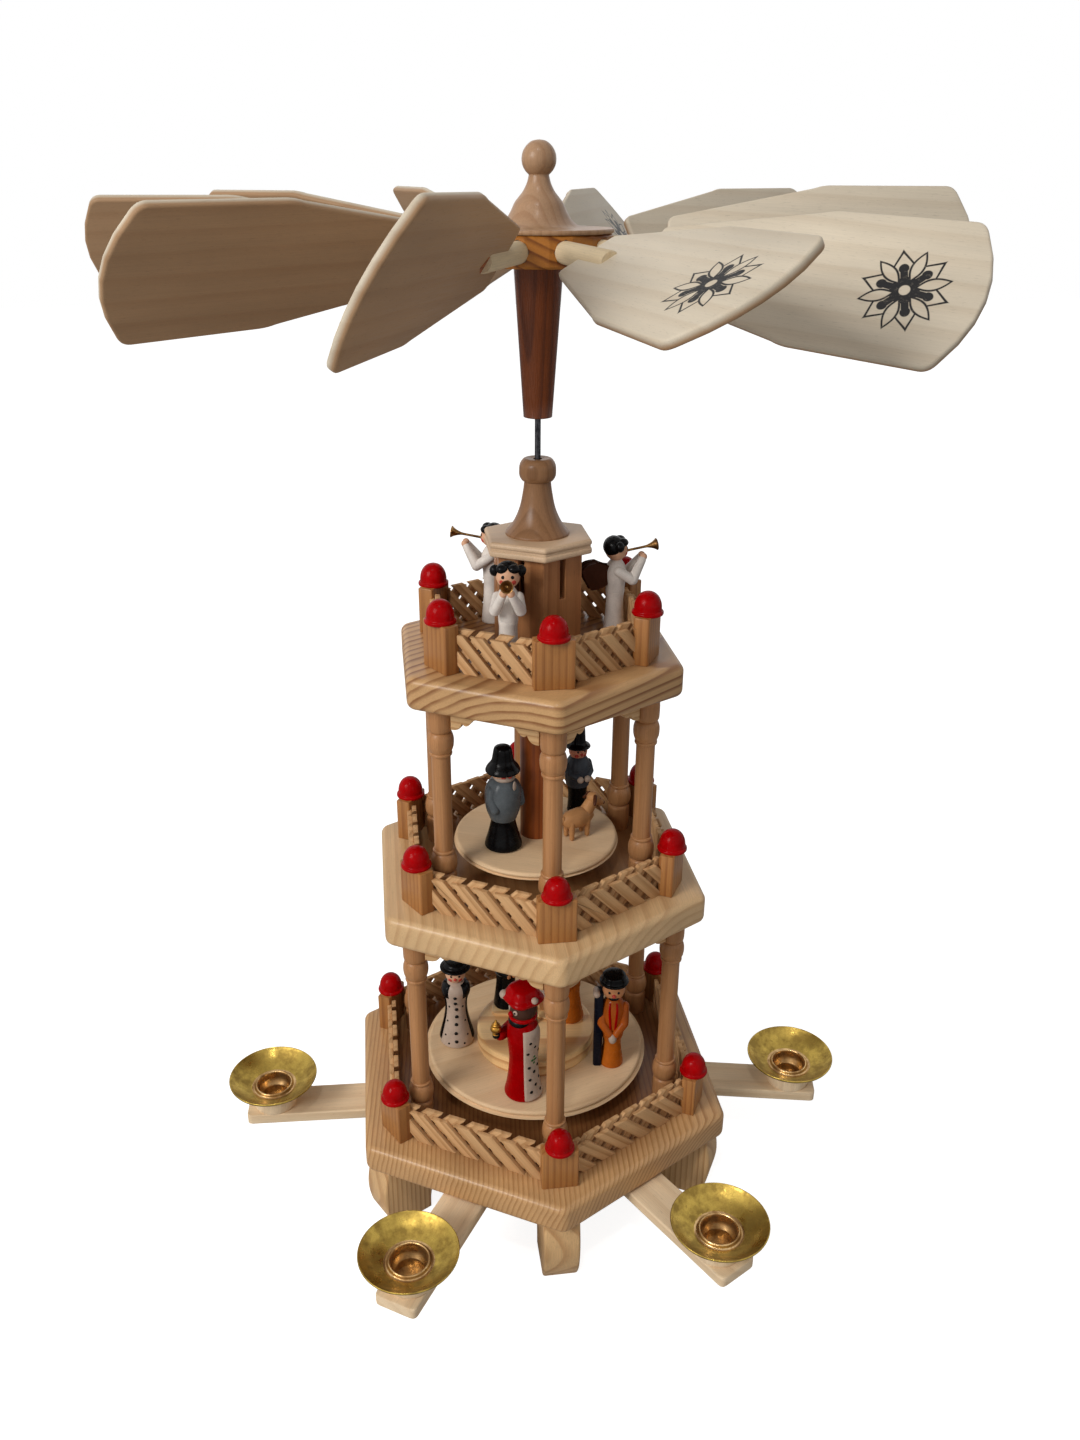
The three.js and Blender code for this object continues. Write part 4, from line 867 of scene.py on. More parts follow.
# %% Lantern
wall_line = [(-9, 0), (9, 0), (9, 38.6), (1.25, 38.6), (1.25, 22.1), (-1.25, 22.1), (-1.25, 38.6), (-9, 38.6)]
LANTERN_RADIUS, walls = 18, []
for a in CORNERS:
    board = slab(wall_line, -2.94, 0, "lantern_wood", edge=0.15, steps=1, grain=(0, 1, 0), pith=(9, 18))
    walls += moved([board], turn("z", a + 30) @ turn("z", 90) @ turn("x", 90),
                   turn("z", a + 30) @ (LANTERN_RADIUS * APOTHEM, 0, UPPER_TOP))
piece("lantern_walls", walls, "stand", ["lantern_housing"])
roof_plate = [slab(six_sided(radius, corner), low, high, "roof_beech", edge, steps, (1, 0.2, 0), (30, 40))
              for radius, corner, low, high, edge, steps in ((22, 1.5, 289.0, 291.3, 0.7, 3),
                                                             (21.5, 1.4, 291.0, 292.2, 0.1, 3),
                                                             (22, 1.5, 291.9, 294.5, 1.3, 4))]
spire_line = curve([
    (1.7, 294.0), (1.7, 294.0), (12.0, 294.0), (12.0, 294.0), (12.0, 294.9), (11.7, 295.5), (10.1, 297.3), (8.6, 299.6),
    (7.2, 302.7), (6.3, 305.6), (5.7, 308.6), (5.2, 311.6), (4.95, 314.0), (4.95, 314.0), (5.9, 314.7), (6.7, 316.2),
    (6.8, 318.2), (6.6, 320.2), (5.9, 321.6), (4.9, 322.5), (3.4, 322.5), (3.4, 322.5), (1.7, 322.3), (1.7, 322.3),
    (1.7, 294.0)], 4)[:-1]
piece("lantern_roof_and_spire", roof_plate + [lathe(spire_line, "spire_beech", 56, True, (10, 18))], "stand",
      ["lantern_roof"])
print("with the lantern:", len(made))

# %% Sleeve, hub and finial
sleeve_line = curve([(1.4, 337.3), (1.4, 337.3), (4.8, 337.3), (5.2, 337.8), (5.2, 337.8), (8.6, 388.5),
                     (8.6, 388.5), (1.4, 388.5), (1.4, 388.5), (1.4, 337.3)], 4)[:-1]
piece("tapered_sleeve", [lathe(sleeve_line, "dark_wood", 48, True, (9, 14))], "rotor", ["rotor_sleeve"])
finial_line = curve([
    (0, 398.8), (0, 398.8), (25.2, 398.8), (25.2, 398.8), (25.5, 399.2), (25.5, 399.9), (25.0, 400.3), (22.0, 400.35),
    (14.8, 400.6), (11.6, 402.4), (9.6, 405.2), (8.2, 408.0), (6.6, 410.0), (5.3, 411.6), (4.1, 413.9), (3.5, 416.0),
    (3.45, 416.6), (3.45, 416.6), (4.6, 417.75), (5.5, 419.4), (5.8, 421.3), (5.4, 423.4), (4.2, 425.3), (2.3, 426.7),
    (0, 427.1)], 4)
piece("turned_finial", [lathe(finial_line, "warm_beech", 64, pith=(16, 24))], "rotor", ["finial"])
print("top of the finial:", finial_line[:, 1].max(), "mm")

# %% [markdown]
# The hub's solid already has the right form, with its ten round holes, so it stays. It gets the bold wood, read from
# the object's own coordinates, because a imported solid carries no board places.

# %% Hub
hub = bpy.data.objects["rotor_hub"]
for place in hub.material_slots:
    place.material = materials["hub_wood"]
print("hub faces:", len(hub.data.polygons))

# %% [markdown]
# ## Ten blades
#
# A blade is a thin leaf of birch plywood with a short outline: narrow at its root, wide at its shoulder, with a
# slightly round tip. It sits in the slot of a round peg. Each one is turned by its own pitch about the peg, droops a
# little about the hub's rim, because the peg has play in its hole, and is turned by its place round the hub. The
# leaf's own places are kept for the printed flower.

# %% Blades
HUB_MIDDLE, HUB_RIM = 393.65, 25.5
FIRST_ANGLE, BLADE_STEP, PITCH = 174.5, 36, 52
# Each blade's pitch against the usual one, and its droop, both in degrees, as the photographed blades have them
PITCH_CHANGES = [-3, 0, 4.5, -23, -1, 15.5, 3, -3, 2, 0]
DROOPS = [1.2, 1.6, 0.8, 1.4, 4.0, 1.2, 0.8, 0.4, 0.8, 1.2]


def bend(a, b, c):
    """Points on a curve from a to c that heads for b: the quadratic blend of the three."""
    t = np.linspace(0, 1, 7)[:, None]
    a, b, c = (np.asarray(p, float) for p in (a, b, c))
    return (1 - t) ** 2 * a + 2 * t * (1 - t) * b + t**2 * c


leaf_line = np.vstack([
    bend((46, -11.3), (44, -10.5), (44, -8.5))[::-1], bend((94, -21.9), (97, -23), (100, -23.1)),
    bend((140, -24), (143, -24), (144.5, -21)), bend((144.5, -21), (157.3, 0), (144.5, 21))[1:-1],
    bend((144.5, 21), (143, 24), (140, 24)), bend((100, 23.1), (97, 23), (94, 21.9)),
    bend((44, 8.5), (44, 10.5), (46, 11.3))[::-1]])
peg_line = curve([(0, 15.4), (0, 15.4), (3.1, 15.4), (3.6, 16.0), (3.6, 16.0), (3.6, 61.0), (3.6, 61.0), (3.2, 62.1),
                  (3.2, 62.1), (0, 62.2), (0, 62.2)], 3)
peg_shadow_line = [(58.4, -2.9), (62.9, -2.9), (65.6, -0.9), (62.9, 2.4), (60.4, 2.8)]
for number, (change, droop) in enumerate(zip(PITCH_CHANGES, DROOPS), 1):
    grain_turn = unit((1, rng.uniform(-0.04, 0.04), 0))
    leaf = slab(leaf_line, -1.5, 1.5, "blade", edge=0.85, steps=3, grain=grain_turn, pith=(60 + 6 * number, 40))
    peg = moved([lathe(peg_line, "peg_wood", 28, pith=(10, 12))], turn("y", 90))[0]
    # A thin dark sheet under the blade, beside the peg's end, is painted shade where the peg meets the blade.
    peg_shadow = slab(peg_shadow_line, -1.62, -1.4, "core", edge=0.05, steps=1)
    parts = [leaf, peg, peg_shadow]
    for p in parts:
        p["leaf"] = p["points"].copy()
    pitched = moved(parts, turn("x", PITCH + change), (-HUB_RIM, 0, 0))
    hung = moved(pitched, turn("y", droop), (HUB_RIM, 0, 0))
    placed = moved(hung, turn("z", FIRST_ANGLE + BLADE_STEP * (number - 1)), (0, 0, HUB_MIDDLE))
    piece(f"plywood_blade_{number}", placed, f"blade_{number}", [f"blade_{number}"])
print("with blades:", len(made))

# %% [markdown]
# ## Painted figures
#
# The figures are turned and carved pegs. Each is made in its own place, looking along +X with its left hand towards
# +Y, in shares of its height. Then it is turned to its heading and set down on its floor.

# %% Figure parts
def body(shares, height, finish, steps=44, samples=4):
    """A turned body: a smooth profile in shares of the height."""
    return lathe(np.array(curve(shares, samples)) * height, finish, steps, pith=(4, 3))


def blob(height, place, size, finish, steps=20, facing=None):
    """A ball in shares of the height."""
    return ball(np.array(place) * height, np.array(size) * height, finish, steps, facing)


def reach(height, start, end, finish, thick, thin=None, bow=(0, 0, 0), steps=14):
    """A sleeve in shares of the height, which bows out at the elbow: two bars that meet there."""
    start, end = np.array(start), np.array(end)
    thin = thick if thin is None else thin
    elbow, mid = (start + end) / 2 + bow, (thick + thin) / 2
    return [limb(start * height, elbow * height, finish, thick * height, mid * height, steps),
            limb(elbow * height, end * height, finish, mid * height, thin * height, steps)]


print("points on a body's profile:", len(curve([(0, 0), (0.2, 0.5), (0, 1)], 4)))


# %% Faces, rims and places
def gaze(side, degrees, rise):
    """The direction of a dot on a face: turned to one side by an angle, and then raised."""
    return unit((math.cos(math.radians(degrees)), side * math.sin(math.radians(degrees)), rise))


def face(height, level, skull, skin, nose="cheek_paint", eyes="black_paint", eye=0.013, nose_size=0.018, cheeks=None):
    """A round head with two eyes, a nose and perhaps cheeks: flat dots at their directions on the ball."""
    middle = np.array((0, 0, level))
    parts = [blob(height, middle, skull, skin, 28)]
    for side in (-1, 1):
        look = gaze(side, 24, 0.16)
        parts.append(blob(height, middle + look * skull * 0.985, (eye, eye, eye * 0.4), eyes, 10, look))
        if cheeks:
            look = unit((0.8, side * 0.5, -0.32))
            parts.append(blob(height, middle + look * skull * 0.985, (0.024, 0.024, 0.007), cheeks, 10, look))
    if nose:
        parts.append(blob(height, (skull * 1.0, 0, level - 0.012), nose_size, nose, 12))
    return parts


def ring(height, radius, level, thick, finish, tall=1.0):
    """A rolled scarf or a rim: a circle of the thickness, turned round the body."""
    a = np.linspace(0, 2 * math.pi, 12, endpoint=False)
    profile = np.stack([radius + thick * np.cos(a), level + thick * tall * np.sin(a)], 1) * height
    return lathe(profile, finish, 36, True)


def lobes(one, amount, count, shift=0.0):
    """Lobes round a turned part: its radius changes by a share that is a cosine of the angle."""
    x, y = one["points"][:, 0], one["points"][:, 1]
    grow = 1 + amount * np.cos(count * (np.arctan2(y, x) - math.radians(shift)))
    one["points"] = one["points"] * np.stack([grow, grow, np.ones_like(grow)], 1)
    return one


def stand_at(parts, distance, angle, heading, floor):
    """A figure turned to its heading and set down."""
    return moved(parts, turn("z", heading), turn("z", angle) @ (distance, 0, floor))


# Distance from the rod in millimetres, direction and heading in degrees
PLACES = {
    "red_king": (35.6, -106, 205), "white_king": (35.6, 174, -95), "yellow_king": (37.5, -33, -100),
    "mother": (16.3, 8, 190), "father": (19, 128, -70), "cradle": (14.7, 63, 90),
    "elder": (17.4, -148, -60), "younger": (25.8, 39, -75), "sheep": (18.9, -15, 25),
    "angel_1": (31, 118, 165), "angel_2": (28.8, -119, -98), "angel_3": (31.2, 6, 5),
}
print("an eye looks along", gaze(1, 24, 0.16).round(2).tolist())

# %% [markdown]
# ### The three kings
#
# They stand round the rim of the lower table. The first wears red, with a broad hat, a white stole with black spots,
# and a gold pot in his hand. The second has a flared white robe under a black cape. The third wears an orange coat
# over a yellow robe, and a long flat dark cape hangs at his side.

# %% The king in red
h = 56
robe = [(0, 0), (0, 0), (0.122, 0), (0.122, 0), (0.14, 0.014), (0.142, 0.035), (0.127, 0.1), (0.112, 0.22),
        (0.106, 0.34), (0.114, 0.46), (0.122, 0.56), (0.115, 0.63), (0.085, 0.69), (0.04, 0.72), (0, 0.725)]
parts = [body(robe, h, "red_paint")]
front = [(r, z) for r, z in curve(robe, 4) if 0.02 < z < 0.66 and r > 0.09]
parts.append(wrap(np.array(front) * h, 64, 150, "white_paint", 0.5, 20, slant=-6))
for angle, level in ((84, 0.55), (104, 0.5), (76, 0.45), (128, 0.44), (82, 0.31), (126, 0.3), (104, 0.26), (84, 0.2),
                     (130, 0.18), (106, 0.14), (86, 0.09), (126, 0.07)):
    parts.append(spot(np.array(robe) * h, angle, level * h, 0.018 * h, "black_paint", 0.75))
for angle, level in ((95, 0.375), (113, 0.375), (104, 0.345), (104, 0.405), (104, 0.375)):
    parts.append(spot(np.array(robe) * h, angle, level * h, 0.016 * h, "green_paint", 0.75))
parts += face(h, 0.79, 0.103, "skin_dark", nose="red_cap", eyes="white_paint", eye=0.02, nose_size=0.024)
for side in (-1, 1):
    look = gaze(side, 23, 0.14)
    parts.append(blob(h, np.array((0, 0, 0.79)) + look * 0.108, (0.009, 0.009, 0.005), "black_paint", 10, look))
parts.append(blob(h, (0.03, 0, 0.695), (0.083, 0.088, 0.05), "black_paint", 22))
parts.append(ring(h, 0.087, 0.728, 0.019, "red_cap"))
hat = body([(0, 0.84), (0, 0.84), (0.09, 0.845), (0.13, 0.87), (0.148, 0.898), (0.142, 0.912), (0.125, 0.93),
            (0.108, 0.966), (0.088, 0.99), (0.05, 1.0), (0, 1.0)], h, "red_cap", 48)
parts.append(lobes(hat, 0.07, 4, 45))
parts.append(blob(h, (0.11, -0.085, 0.905), 0.036, "white_paint"))
parts.append(blob(h, (-0.02, 0.13, 0.93), 0.026, "white_paint"))
parts += reach(h, (0.0, -0.095, 0.6), (0.145, -0.088, 0.545), "red_paint", 0.052, 0.046, bow=(0, -0.025, -0.035))
parts.append(blob(h, (0.18, -0.082, 0.56), (0.034, 0.03, 0.03), "black_paint"))
pot = body([(0, 0), (0, 0), (0.026, 0), (0.026, 0.006), (0.016, 0.014), (0.038, 0.035), (0.042, 0.055),
            (0.034, 0.074), (0.022, 0.08), (0.03, 0.084), (0.03, 0.09), (0.018, 0.1), (0.009, 0.116), (0.008, 0.124),
            (0, 0.13)], h, "gold", 28)
parts += moved([pot], None, (0.186 * h, -0.084 * h, 0.572 * h))
piece("king_in_red", stand_at(parts, *PLACES["red_king"], LOWER_FLOOR), "rotor", ["red_king"], 50)
print("parts of the red king:", len(parts))

# %% The king in white
h = 43
robe = [(0, 0), (0, 0), (0.155, 0), (0.155, 0), (0.176, 0.014), (0.178, 0.035), (0.165, 0.1), (0.138, 0.21),
        (0.115, 0.32), (0.104, 0.42), (0.106, 0.52), (0.128, 0.61), (0.135, 0.67), (0.11, 0.73), (0.05, 0.765),
        (0, 0.77)]
parts = [body(robe, h, "white_paint")]
line = np.array([(r, z) for r, z in curve(robe, 5) if 0.58 < z < 0.75 and r > 0.06])
parts.append(wrap(line * h, 34, 326, "black_paint", 0.7, 44))
line = np.array([(r, z) for r, z in curve(robe, 5) if 0.05 < z < 0.64 and r > 0.06])
for start, end in ((68, 128), (232, 292)):
    parts.append(wrap(line * h, start, end, "black_paint", 0.5, 18))
for level in (0.62, 0.54, 0.46, 0.37, 0.28, 0.18, 0.09):
    parts.append(spot(np.array(robe) * h, rng.uniform(-3, 3), level * h, 0.02 * h, "black_paint", 0.6))
for level, angle in ((0.48, 42), (0.48, -42), (0.3, 50), (0.14, 48), (0.3, -50), (0.14, -48), (0.06, 28), (0.06, -28)):
    parts.append(spot(np.array(robe) * h, angle, level * h, 0.012 * h, "black_paint", 0.6))
parts += face(h, 0.85, 0.105, "skin_pale", cheeks="cheek_paint")
parts.append(blob(h, (-0.03, 0, 0.86), (0.096, 0.112, 0.096), "black_paint", 24))
parts.append(body([(0, 0.918), (0, 0.918), (0.12, 0.918), (0.15, 0.922), (0.158, 0.932), (0.15, 0.944),
                   (0.118, 0.952), (0.11, 0.975), (0.09, 0.994), (0.05, 1), (0, 1)], h, "black_paint"))
piece("king_in_white", stand_at(parts, *PLACES["white_king"], LOWER_FLOOR), "rotor", ["white_king"], 50)
print("parts of the white king:", len(parts))

# %% The king in yellow
h = 49
robe = [(0, 0), (0, 0), (0.1, 0), (0.1, 0), (0.106, 0.012), (0.103, 0.045), (0.088, 0.14), (0.08, 0.25),
        (0.086, 0.33), (0, 0.34), (0, 0.34)]
coat = [(0, 0.3), (0, 0.3), (0.092, 0.3), (0.092, 0.3), (0.1, 0.34), (0.105, 0.45), (0.11, 0.56), (0.104, 0.63),
        (0.08, 0.69), (0.045, 0.73), (0, 0.74)]
parts = [body(robe, h, "yellow_paint"), body(coat, h, "orange_paint")]
line = np.array([(r, z) for r, z in curve(coat, 5) if 0.33 < z < 0.7 and r > 0.06])
parts.append(wrap(line * h, 3, 14, "red_cap", 0.45, 8, slant=14))
parts.append(wrap(line * h, -14, -3, "red_cap", 0.45, 8, slant=-14))
parts += face(h, 0.81, 0.1, "skin_tan")
parts.append(blob(h, (0.062, 0, 0.755), (0.036, 0.05, 0.024), "black_paint", 14))
parts.append(blob(h, (-0.025, 0, 0.82), (0.094, 0.108, 0.092), "brown_paint", 22))
parts.append(body([(0, 0.885), (0, 0.885), (0.112, 0.885), (0.126, 0.892), (0.128, 0.904), (0.114, 0.916),
                   (0.106, 0.94), (0.096, 0.966), (0.05, 0.975), (0, 0.976)], h, "black_paint"))
for side in (-1, 1):
    parts += reach(h, (0.0, side * 0.098, 0.62), (0.115, side * 0.03, 0.4), "orange_paint", 0.046, 0.036,
                   bow=(0.015, side * 0.035, -0.02))
parts.append(blob(h, (0.132, 0, 0.36), (0.036, 0.036, 0.05), "white_paint"))
cape_line = np.array([(-0.09, 0.0), (0.07, 0.0), (0.085, 0.3), (0.08, 0.66), (0.05, 0.79), (-0.05, 0.79), (-0.1, 0.6),
                      (-0.1, 0.3)]) * h
cape = slab(cape_line, -0.04 * h, 0.04 * h, "cape_paint", edge=0.9, grain=(0, 1, 0))
parts += moved([cape], turn("x", 90), (0, -0.128 * h, 0))
parts.append(limb(np.array((-0.035, -0.15, 0.76)) * h, np.array((0.055, -0.15, 0.78)) * h, "white_paint", 0.032 * h))
piece("king_in_yellow", stand_at(parts, *PLACES["yellow_king"], LOWER_FLOOR), "rotor", ["yellow_king"],
      50)
print("parts of the yellow king:", len(parts))

# %% [markdown]
# ### The family on the platform
#
# Behind the kings, on the platform of bold pine, a robed woman and a bearded man stand by a small cradle. They share
# one thin sawn floor, so they are one piece.

# %% Family
floor_line = 26.3 * np.array([(-0.72, 0.3), (0, 0.18), (0.42, -0.12), (0.83, -0.1), (0.75, 0.45), (0, 0.92),
                              (-0.68, 0.65)])
parts = [slab(round_corners(floor_line, 2.5), PLATFORM, PLATFORM + 1.2, "platform_pine", edge=0.35, pith=(40, 12))]
h = 34
robe = [(0, 0), (0, 0), (0.18, 0), (0.18, 0), (0.19, 0.03), (0.17, 0.12), (0.14, 0.3), (0.13, 0.45), (0.14, 0.58),
        (0.1, 0.7), (0, 0.74)]
mother = [body(robe, h, "yellow_paint")] + face(h, 0.81, 0.11, "skin_pale", cheeks="cheek_paint")
mother.append(blob(h, (-0.03, 0, 0.83), (0.112, 0.122, 0.13), "yellow_paint", 24))
mother.append(blob(h, (-0.01, 0, 0.9), (0.075, 0.09, 0.06), "brown_paint", 20))
for side in (-1, 1):
    mother += reach(h, (0, side * 0.11, 0.6), (0.13, side * 0.02, 0.48), "orange_paint", 0.05, 0.04,
                    bow=(0.01, side * 0.03, -0.02))
mother.append(blob(h, (0.15, 0, 0.48), 0.036, "skin_pale"))
h = 38
robe = [(0, 0), (0, 0), (0.14, 0), (0.14, 0), (0.15, 0.03), (0.135, 0.15), (0.115, 0.35), (0.12, 0.5), (0.125, 0.6),
        (0.09, 0.7), (0, 0.73)]
father = [body(robe, h, "black_paint")] + face(h, 0.81, 0.1, "skin_tan")
father.append(ring(h, 0.118, 0.5, 0.02, "blue_grey_paint", 1.6))
father.append(blob(h, (0.055, 0, 0.75), (0.05, 0.06, 0.05), "brown_paint", 16))
father.append(body([(0, 0.86), (0, 0.86), (0.09, 0.84), (0.11, 0.87), (0.105, 0.92), (0.07, 0.98), (0, 1)], h,
                   "black_paint"))
for side in (-1, 1):
    father += reach(h, (0, side * 0.1, 0.6), (0.13, side * 0.04, 0.5), "black_paint", 0.045, 0.04,
                    bow=(0, side * 0.03, -0.02))
    father.append(blob(h, (0.15, side * 0.035, 0.5), 0.03, "skin_tan"))
cradle = [slab([(-6, -3.5), (6, -3.5), (6, 3.5), (-6, 3.5)], 1.0, 6.0, "beech", edge=0.6, grain=(1, 0, 0)),
          ball((0, 0, 6.0), (4.9, 2.7, 1.6), "white_paint", 20), ball((3.4, 0, 7.0), (1.5, 1.4, 1.4), "skin_pale", 16)]
parts += stand_at(mother, *PLACES["mother"], PLATFORM + 0.9) + stand_at(father, *PLACES["father"], PLATFORM + 0.9)
parts += stand_at(cradle, *PLACES["cradle"], PLATFORM)
piece("family_group", parts, "rotor", ["holy_family"], 50)
print("parts of the family:", len(parts))

# %% [markdown]
# ### Shepherds and a sheep
#
# The shepherds stand on the upper table with a sheep. Their round coats are lacquered grey-blue, and the black hats
# have a brim that droops.

# %% Shepherds
def shepherd(h, coat, coat_finish, legs, hat, skin, beard):
    """A shepherd: black skirt or trousers, a round coat, a head and a black hat, all turned from profiles."""
    parts = [body(legs, h, "black_paint"), body(coat, h, coat_finish)]
    parts += face(h, 0.725, 0.1, skin, cheeks="cheek_paint", eye=0.012)
    if beard:
        parts.append(blob(h, (0.022, 0, 0.68), (0.092, 0.096, 0.04), "white_paint", 24))
        parts.append(blob(h, (-0.02, 0, 0.735), (0.092, 0.106, 0.06), "white_paint", 24))
    parts.append(body(hat, h, "black_paint", 44))
    return parts


round_coat = [(0, 0.27), (0, 0.27), (0.1, 0.27), (0.125, 0.31), (0.148, 0.38), (0.158, 0.48), (0.152, 0.56),
              (0.125, 0.625), (0.085, 0.665), (0, 0.69)]
slim_coat = [(0, 0.32), (0, 0.32), (0.11, 0.32), (0.125, 0.34), (0.136, 0.42), (0.138, 0.5), (0.13, 0.57),
             (0.105, 0.63), (0.07, 0.67), (0, 0.69)]
wide_hat = [(0, 0.79), (0, 0.79), (0.08, 0.785), (0.122, 0.75), (0.142, 0.735), (0.15, 0.742), (0.138, 0.772),
            (0.102, 0.82), (0.09, 0.86), (0.082, 0.91), (0.07, 0.95), (0.04, 0.965), (0, 0.968)]
tall_hat = [(0, 0.79), (0, 0.79), (0.09, 0.785), (0.122, 0.77), (0.132, 0.775), (0.124, 0.79), (0.09, 0.815),
            (0.08, 0.84), (0.076, 0.9), (0.072, 0.965), (0.064, 0.992), (0.03, 1), (0, 1)]
skirt = [(0, 0), (0, 0), (0.14, 0), (0.14, 0), (0.162, 0.016), (0.158, 0.05), (0.132, 0.14), (0.108, 0.25),
         (0.1, 0.36), (0, 0.4)]
elder = shepherd(47, round_coat, "blue_grey_paint", skirt, wide_hat, "skin_pale", True)
for side in (-1, 1):
    elder += reach(47, (0, side * 0.12, 0.57), (0.07, side * 0.135, 0.42), "blue_grey_paint", 0.046, 0.04,
                   bow=(-0.01, side * 0.02, 0))
# A thin white streak on the front of the coat is a painted highlight.
elder.append(ball((7.0, 0.6, 30.0), (0.3, 0.9, 2.1), "white_paint", 12))
piece("shepherd_with_beard", stand_at(elder, *PLACES["elder"], UPPER_FLOOR), "rotor", ["shepherd_1"],
      50)
trousers = [(0, 0), (0, 0), (0.1, 0), (0.1, 0), (0.108, 0.02), (0.104, 0.06), (0.098, 0.2), (0.1, 0.34), (0, 0.4)]
younger = shepherd(40, slim_coat, "slate_paint", trousers, tall_hat, "skin_pink", False)
for side in (-1, 1):
    younger += reach(40, (0, side * 0.115, 0.56), (0.13, side * 0.05, 0.46), "slate_paint", 0.046, 0.038,
                     bow=(0, side * 0.03, -0.02))
    younger.append(blob(40, (0.165, side * 0.04, 0.45), (0.032, 0.036, 0.038), "white_paint"))
piece("shepherd_with_tall_hat", stand_at(younger, *PLACES["younger"], UPPER_FLOOR), "rotor", ["shepherd_2"],
      50)
print("parts of the shepherds:", len(elder), "and", len(younger))

# %% The sheep
h = 20
fleece = ball((-0.105 * h, 0, 0.43 * h), (0.39 * h, 0.2 * h, 0.215 * h), "tan_paint", 36)
ripple = fleece["points"] / h * 21
fleece["points"] = fleece["points"] + 0.22 * np.sin(ripple) * np.cos(np.roll(ripple, 1, 1))
parts = [fleece, limb((0.1 * h, 0, 0.5 * h), (0.29 * h, 0, 0.76 * h), "tan_paint", 0.15 * h, 0.12 * h),
         limb((0.29 * h, 0, 0.79 * h), (0.47 * h, 0, 0.65 * h), "tan_paint", 0.14 * h, 0.085 * h),
         ball((0.53 * h, 0, 0.62 * h), (0.05 * h, 0.06 * h, 0.045 * h), "brown_paint", 12),
         limb((-0.45 * h, 0, 0.5 * h), (-0.53 * h, 0, 0.36 * h), "tan_paint", 0.06 * h, 0.04 * h, 10)]
for side in (-1, 1):
    ear = np.array([(0.27, side * 0.1, 0.86), (0.2, side * 0.19, 0.74)]) * h
    parts += [limb(*ear, "brown_paint", 0.045 * h, 0.03 * h, 10),
              ball((0.4 * h, side * 0.085 * h, 0.78 * h), 0.02 * h, "black_paint", 8)]
    for x in (-0.3, 0.08):
        leg = np.array([(x, side * 0.105, 0.05), (x, side * 0.105, 0.4)]) * h
        parts.append(limb(*leg, "tan_paint", 0.05 * h, 0.075 * h, 12))
piece("carved_sheep", stand_at(parts, *PLACES["sheep"], UPPER_FLOOR), "rotor", ["sheep"], 60)
print("parts of the sheep:", len(parts))

# %% [markdown]
# ### Angels
#
# Three angels blow trumpets from the top storey. Their gowns are a cold white with a belt seam, their black hair
# is tied in two buns, and each has a pair of small sawn wings behind.

# %% Angels
wing_line = curve(np.vstack([
    corners((-1.7, 24.4)), [(-6.0, 21.8), (-10.1, 21.2)], corners((-10.6, 21.6)), [(-13.0, 25.6)],
    corners((-14.2, 28.6)), [(-11.8, 30.4)], corners((-8.4, 31.0)), [(-5.0, 29.6)], corners((-1.7, 29.4)),
    [(-1.2, 27.0)]]), 3)


def angel(h=42):
    """An angel: a gown in two turned parts, a head with hair, wings, sleeves and a trumpet."""
    gown = [(0, 0), (0, 0), (0.098, 0), (0.098, 0), (0.106, 0.012), (0.104, 0.05), (0.09, 0.2), (0.08, 0.38),
            (0.08, 0.46), (0, 0.47)]
    bodice = [(0, 0.45), (0, 0.45), (0.081, 0.452), (0.088, 0.5), (0.1, 0.6), (0.098, 0.67), (0.07, 0.73),
              (0.035, 0.765), (0, 0.77)]
    parts = [body(gown, h, "gown_paint"), body(bodice, h, "gown_paint"), ring(h, 0.081, 0.455, 0.008, "gown_paint")]
    parts += face(h, 0.85, 0.104, "skin_pale", nose=None, cheeks="cheek_paint", eye=0.016)
    parts.append(blob(h, (-0.022, 0, 0.878), (0.1, 0.112, 0.1), "black_paint", 24))
    for side in (-1, 1):
        parts.append(blob(h, (0.046, side * 0.05, 0.925), (0.052, 0.054, 0.04), "black_paint", 16))
        parts.append(blob(h, (0.0, side * 0.112, 0.9), (0.044, 0.046, 0.05), "black_paint"))
        elbow = np.array((0.13, side * 0.11, 0.585)) * h
        wrist = np.array((0.24, side * 0.042, 0.75)) * h
        parts += [limb(np.array((0, side * 0.092, 0.665)) * h, elbow, "gown_paint", 0.046 * h, 0.05 * h, 16),
                  limb(elbow, wrist, "gown_paint", 0.05 * h, 0.036 * h, 16),
                  ball(wrist + (0.6, -side * 0.4, 1.0), 0.034 * h, "skin_pale", 14)]
        wing = slab(wing_line, -1.2, 1.2, "wing_paint", edge=0.5, steps=2, grain=(0.8, 0.6, 0))
        wing["points"] = wing["points"][:, [0, 2, 1]]
        parts += moved([wing], turn("z", side * 10))
    mouth, bell = np.array((0.1, 0, 0.832)) * h, np.array((0.36, 0, 0.872)) * h
    horn = curve([(0, 0), (0, 0), (0.016, 0), (0.012, 0.02), (0.012, 0.17), (0.018, 0.21), (0.032, 0.25), (0.05, 0.28),
                  (0.056, 0.285), (0.054, 0.292), (0.045, 0.284), (0.02, 0.25), (0.008, 0.24), (0, 0.24)], 4)
    parts += moved([lathe(np.array(horn) * h, "horn_brass", 28, pith=(0, 0))], axes_to(bell - mouth), mouth)
    return parts


for number in (1, 2, 3):
    placed = stand_at(angel(), *PLACES[f"angel_{number}"], UPPER_TOP)
    piece(f"trumpet_angel_{number}", placed, "stand", [f"angel_{number}"], 50)
print("pieces:", len(made))

# %% [markdown]
# ## Stage, lamps and camera
#
# The pyramid stands on a plain white floor in front of nothing. A wide lamp at the upper left is the daylight of a
# window, and the pale surroundings fill the shade. A small lamp from above sets a spark on each glossy cap, and a weak
# one at the right keeps the far sides readable. The camera stands about as high as the blades and looks down on the
# storeys.

